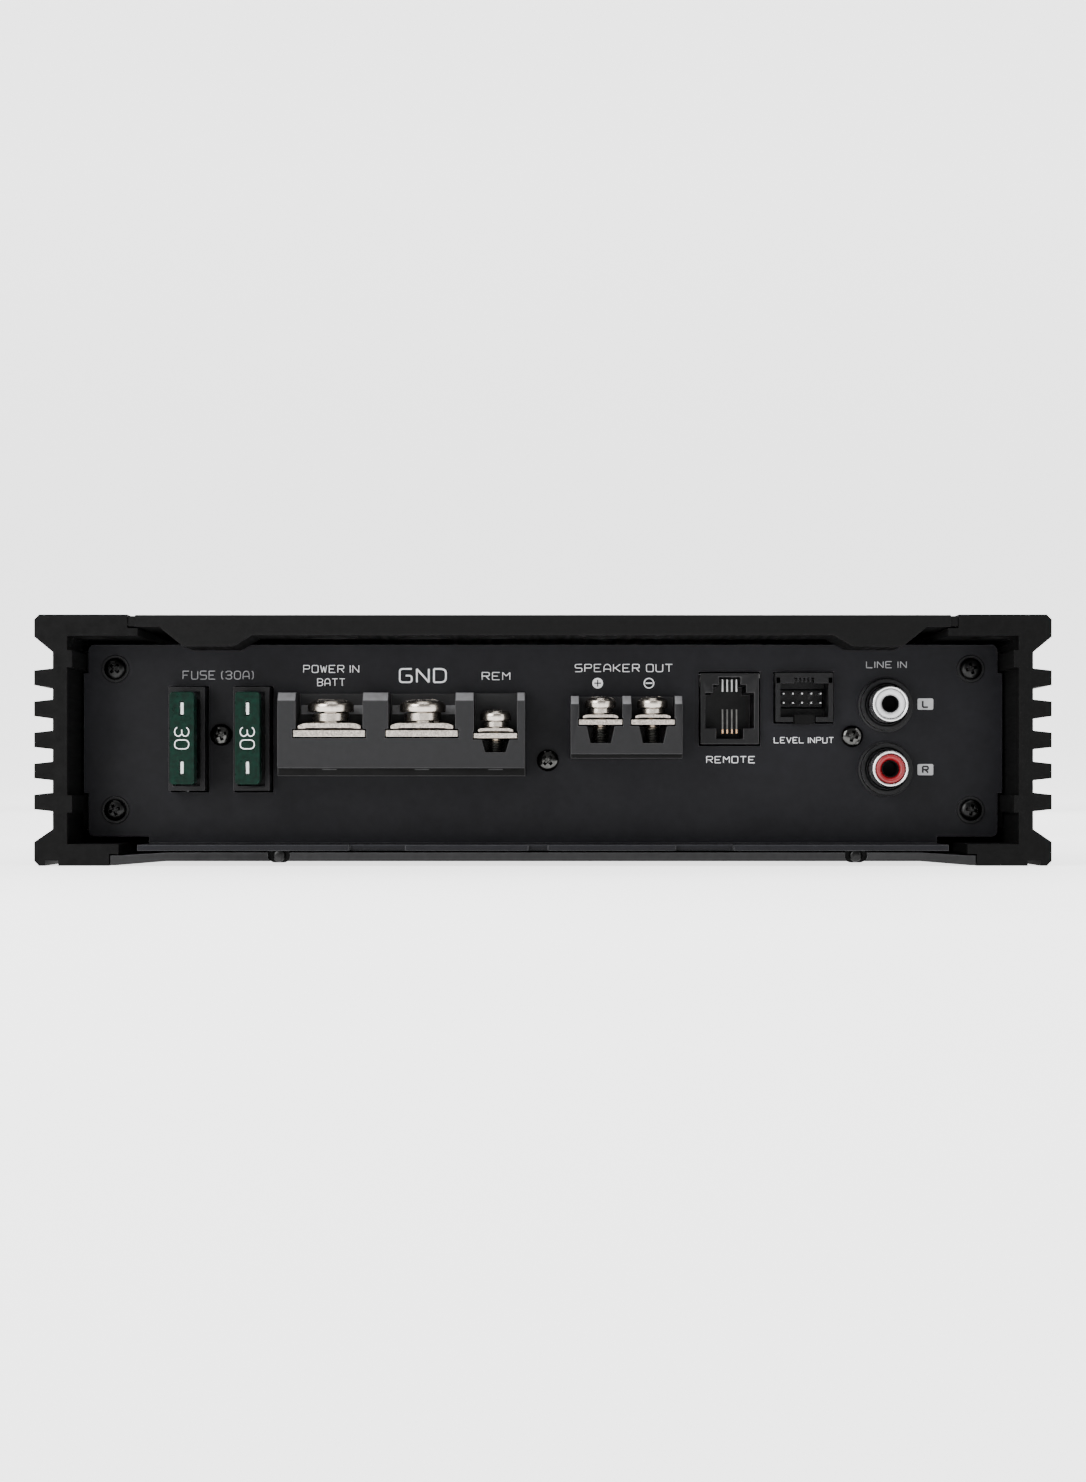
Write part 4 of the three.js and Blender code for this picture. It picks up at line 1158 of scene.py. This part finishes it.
def level_pins():
    """Ten thin pins with pointed tips, on a black strip at the back of their socket."""
    low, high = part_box("level_input_pins")
    centre = (low + high) / 2
    strip_front = low.y + 4.7 * MM
    strip = block("level_pin_strip", (low.x, strip_front, low.z), (high.x, high.y, high.z))
    paint(strip, "black")
    pitch, half, tip = 1.95 * MM, 0.3 * MM, 0.2 * MM
    shoulder = low.y + 0.5 * MM
    profile = [(0, strip_front), (half, strip_front), (half, shoulder), (tip, low.y), (0, low.y)]
    lay = Matrix(((1, 0, 0, 0), (0, 0, 1, 0), (0, 1, 0, 0), (0, 0, 0, 1)))
    square_on = Matrix.Rotation(pi / 4, 4, "Y")
    pins = []
    for column in range(5):
        for row in range(2):
            x = centre.x + (column - 2) * pitch
            z = centre.z + (row - 0.5) * pitch
            pin = lathe("pin", profile, sides=4)
            pins.append(moved(pin, Matrix.Translation((x, 0, z)) @ square_on @ lay))
    pins = joined("fine_level_input_pins", pins)
    paint(pins, "phono")
    place(pins, "chassis", "terminal_nickel", "level_input_pins")
    place(strip, "chassis", "socket_black")


level_pins()


def level_socket_trim():
    """The socket's top bars and teeth, a near-black block in the notch under its mouth and a near-black
    block behind its top, both painted shade.
    """
    low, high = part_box("level_input_socket")
    centre = (low.x + high.x) / 2
    front = low.y
    top = high.z
    parts = []
    half_notch, ledge = 2.1 * MM, top - 0.9 * MM
    for side in (-1, 1):
        outer = centre + side * (high.x - centre - 0.1 * MM)
        near, far = sorted((centre + side * half_notch, outer))
        parts.append(block("bar", (near, front, top - 2.2 * MM), (far, front + 3 * MM, ledge)))
    pitch, half, bottom = 0.85 * MM, 0.18 * MM, top - 1.9 * MM
    for i in range(4):
        x = centre + (i - 1.5) * pitch
        low_corner = (x - half, front + 0.4 * MM, bottom)
        parts.append(block("tooth", low_corner, (x + half, front + 2 * MM, ledge)))
    trim = joined("level_socket_trim", parts)
    paint(trim, "black", "black_edge")
    soften(trim, 0.08 * MM, edge_material=1)
    place(trim, "chassis", "socket_black")
    # Painted shade: a near-black block in the notch under the mouth.
    notch = block(
        "level_socket_notch_shade",
        (centre - half_notch, front - 0.08 * MM, low.z - 0.5 * MM),
        (centre + half_notch, front + 1.8 * MM, low.z + 1.5 * MM),
    )
    paint(notch, "dark")
    place(notch, "chassis", "socket_black")
    # Painted shade: a near-black block behind the socket's top, that keeps the gap there dark.
    back = -PANEL_Y + 1.3 * MM
    painted_shade_block = block(
        "level_socket_gasket",
        (low.x - MM, back, top + 0.05 * MM),
        (high.x + MM, back + MM, top + 2 * MM),
    )
    paint(painted_shade_block, "dark")
    place(painted_shade_block, "chassis", "socket_black")


level_socket_trim()


# ---------------------------------------------------------------- control end


def fluted_knob(name):
    """A small knob with a fluted skirt, a chamfered top and a white pointer."""
    node = name + "_knob"
    low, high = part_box(node)
    x, z = (low.x + high.x) / 2, (low.z + high.z) / 2
    base, top = low.y - PANEL_Y, high.y - PANEL_Y
    radius = (high.x - low.x) / 2
    sides, flutes, flute_depth = 144, 24, 0.045
    shape = bmesh.new()
    rings = []
    levels = [
        (base, 0.93, False),
        (base + 0.3 * MM, 1, True),
        (top - 1.6 * MM, 0.97, True),
        (top - 0.5 * MM, 0.93, False),
        (top, 0.85, False),
    ]
    for height, share, fluted in levels:
        ring = []
        for i in range(sides):
            angle = tau * i / sides
            flute = flute_depth * (0.5 - 0.5 * cos(angle * flutes)) if fluted else 0
            r = radius * (share - flute)
            ring.append(shape.verts.new((r * cos(angle), r * sin(angle), height)))
        rings.append(ring)
    ring_faces(shape, rings)
    shape.faces.new(rings[0])
    shape.faces.new(rings[-1])
    knob = object_from("fine_" + node, shape)
    paint(moved(knob, outwards(x, z, 1)), "knob")
    place(knob, node, "knob_black", node)
    pointer = prism(node + "_pointer", rounded_outline(0.32 * MM, 1.3 * MM, 0.3 * MM), INK)
    moved(pointer, outwards(x, z, 1, top - INK / 2) @ Matrix.Translation((0, radius * 0.5, 0)))
    paint(pointer, "ink")
    place(pointer, node, "knob_black")


def dial(name, words, low_mark, high_mark):
    """Tick marks round a knob, its end values and its name."""
    middle = node_middle(name + "_knob")
    ticks = []
    limit, spacing, tick_out = 150, 30, 6.4 * MM
    for angle in range(limit, -limit - 1, -spacing):
        tick = prism("tick", rounded_outline(0.12 * MM, 0.55 * MM, 0.1 * MM, 2), INK)
        turn = Matrix.Rotation(radians(angle), 4, "Z")
        ticks.append(moved(tick, turn @ Matrix.Translation((0, tick_out, 0))))
    scale = joined(name + "_scale", ticks)
    paint(moved(scale, outwards(middle.x, middle.z, 1)), "ink")
    place(scale, "chassis", "panel_black")
    name_width = len(words) * 1.9 * MM
    label(name + "_name", words, middle.x, middle.z + 10.6 * MM, 1.7 * MM, name_width, end=1)
    for side, mark in ((1, low_mark), (-1, high_mark)):
        mark_width = len(mark) * 1.35 * MM
        mark_x = middle.x + side * 6.6 * MM
        mark_z = middle.z - 7.6 * MM
        mark_name = name + "_value_" + mark.strip("+")
        label(mark_name, mark, mark_x, mark_z, 1.3 * MM, mark_width, end=1)


for name, words, low_mark, high_mark in (
    ("sensitivity", "LEVEL", "MIN", "MAX"),
    ("crossover", "FREQ", "50", "200"),
    ("bass", "BASS", "0", "+18"),
):
    refined(name + "_control", "black", "black_edge", 0.1 * MM)
    fluted_knob(name)
    dial(name, words, low_mark, high_mark)

refined("filter_switch_body", "black", "black_edge", 0.1 * MM)
refined("filter_switch_slider", "knob", "black_edge", 0.2 * MM, 3)
label("filter_name", "FILTER", 40 * MM, 37.6 * MM, 1.7 * MM, 11 * MM, end=1)
label("filter_on", "ON", 36.5 * MM, 31.6 * MM, 1.3 * MM, 2.9 * MM, end=1)
label("filter_off", "OFF", 43.5 * MM, 31.6 * MM, 1.3 * MM, 4 * MM, end=1)
label("light_name", "POWER", 62 * MM, 31.6 * MM, 1.5 * MM, 8 * MM, end=1)


def power_lens():
    """The power light's domed blue lens."""
    low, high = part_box("power_light")
    x, z = (low.x + high.x) / 2, (low.z + high.z) / 2
    top = high.y - PANEL_Y
    radius, base = 1.45 * MM, -1 * MM
    profile = [(0, base), (radius, base)] + dome(radius, 0, top, top * 0.3)
    lens = lathe("fine_power_light", profile, 48)
    paint(moved(lens, outwards(x, z, 1)), "lens")
    place(lens, "chassis", "light_lens", "power_light")


power_lens()


# ---------------------------------------------------------------- inside

refined("control_board", "board", "board", 0.1 * MM)
refined("main_board", "board", "board", 0.1 * MM)
refined("power_transformer", "copper", "copper", 0.5 * MM, 3)
refined("output_inductor", "copper", "copper", 0.5 * MM, 3)
refined("storage_capacitor_1", "sleeve", "silver", 0.3 * MM)
refined("storage_capacitor_2", "sleeve", "silver", 0.3 * MM)
refined("transistor_bank_left", "epoxy", "epoxy", 0.3 * MM)
refined("transistor_bank_right", "epoxy", "epoxy", 0.3 * MM)
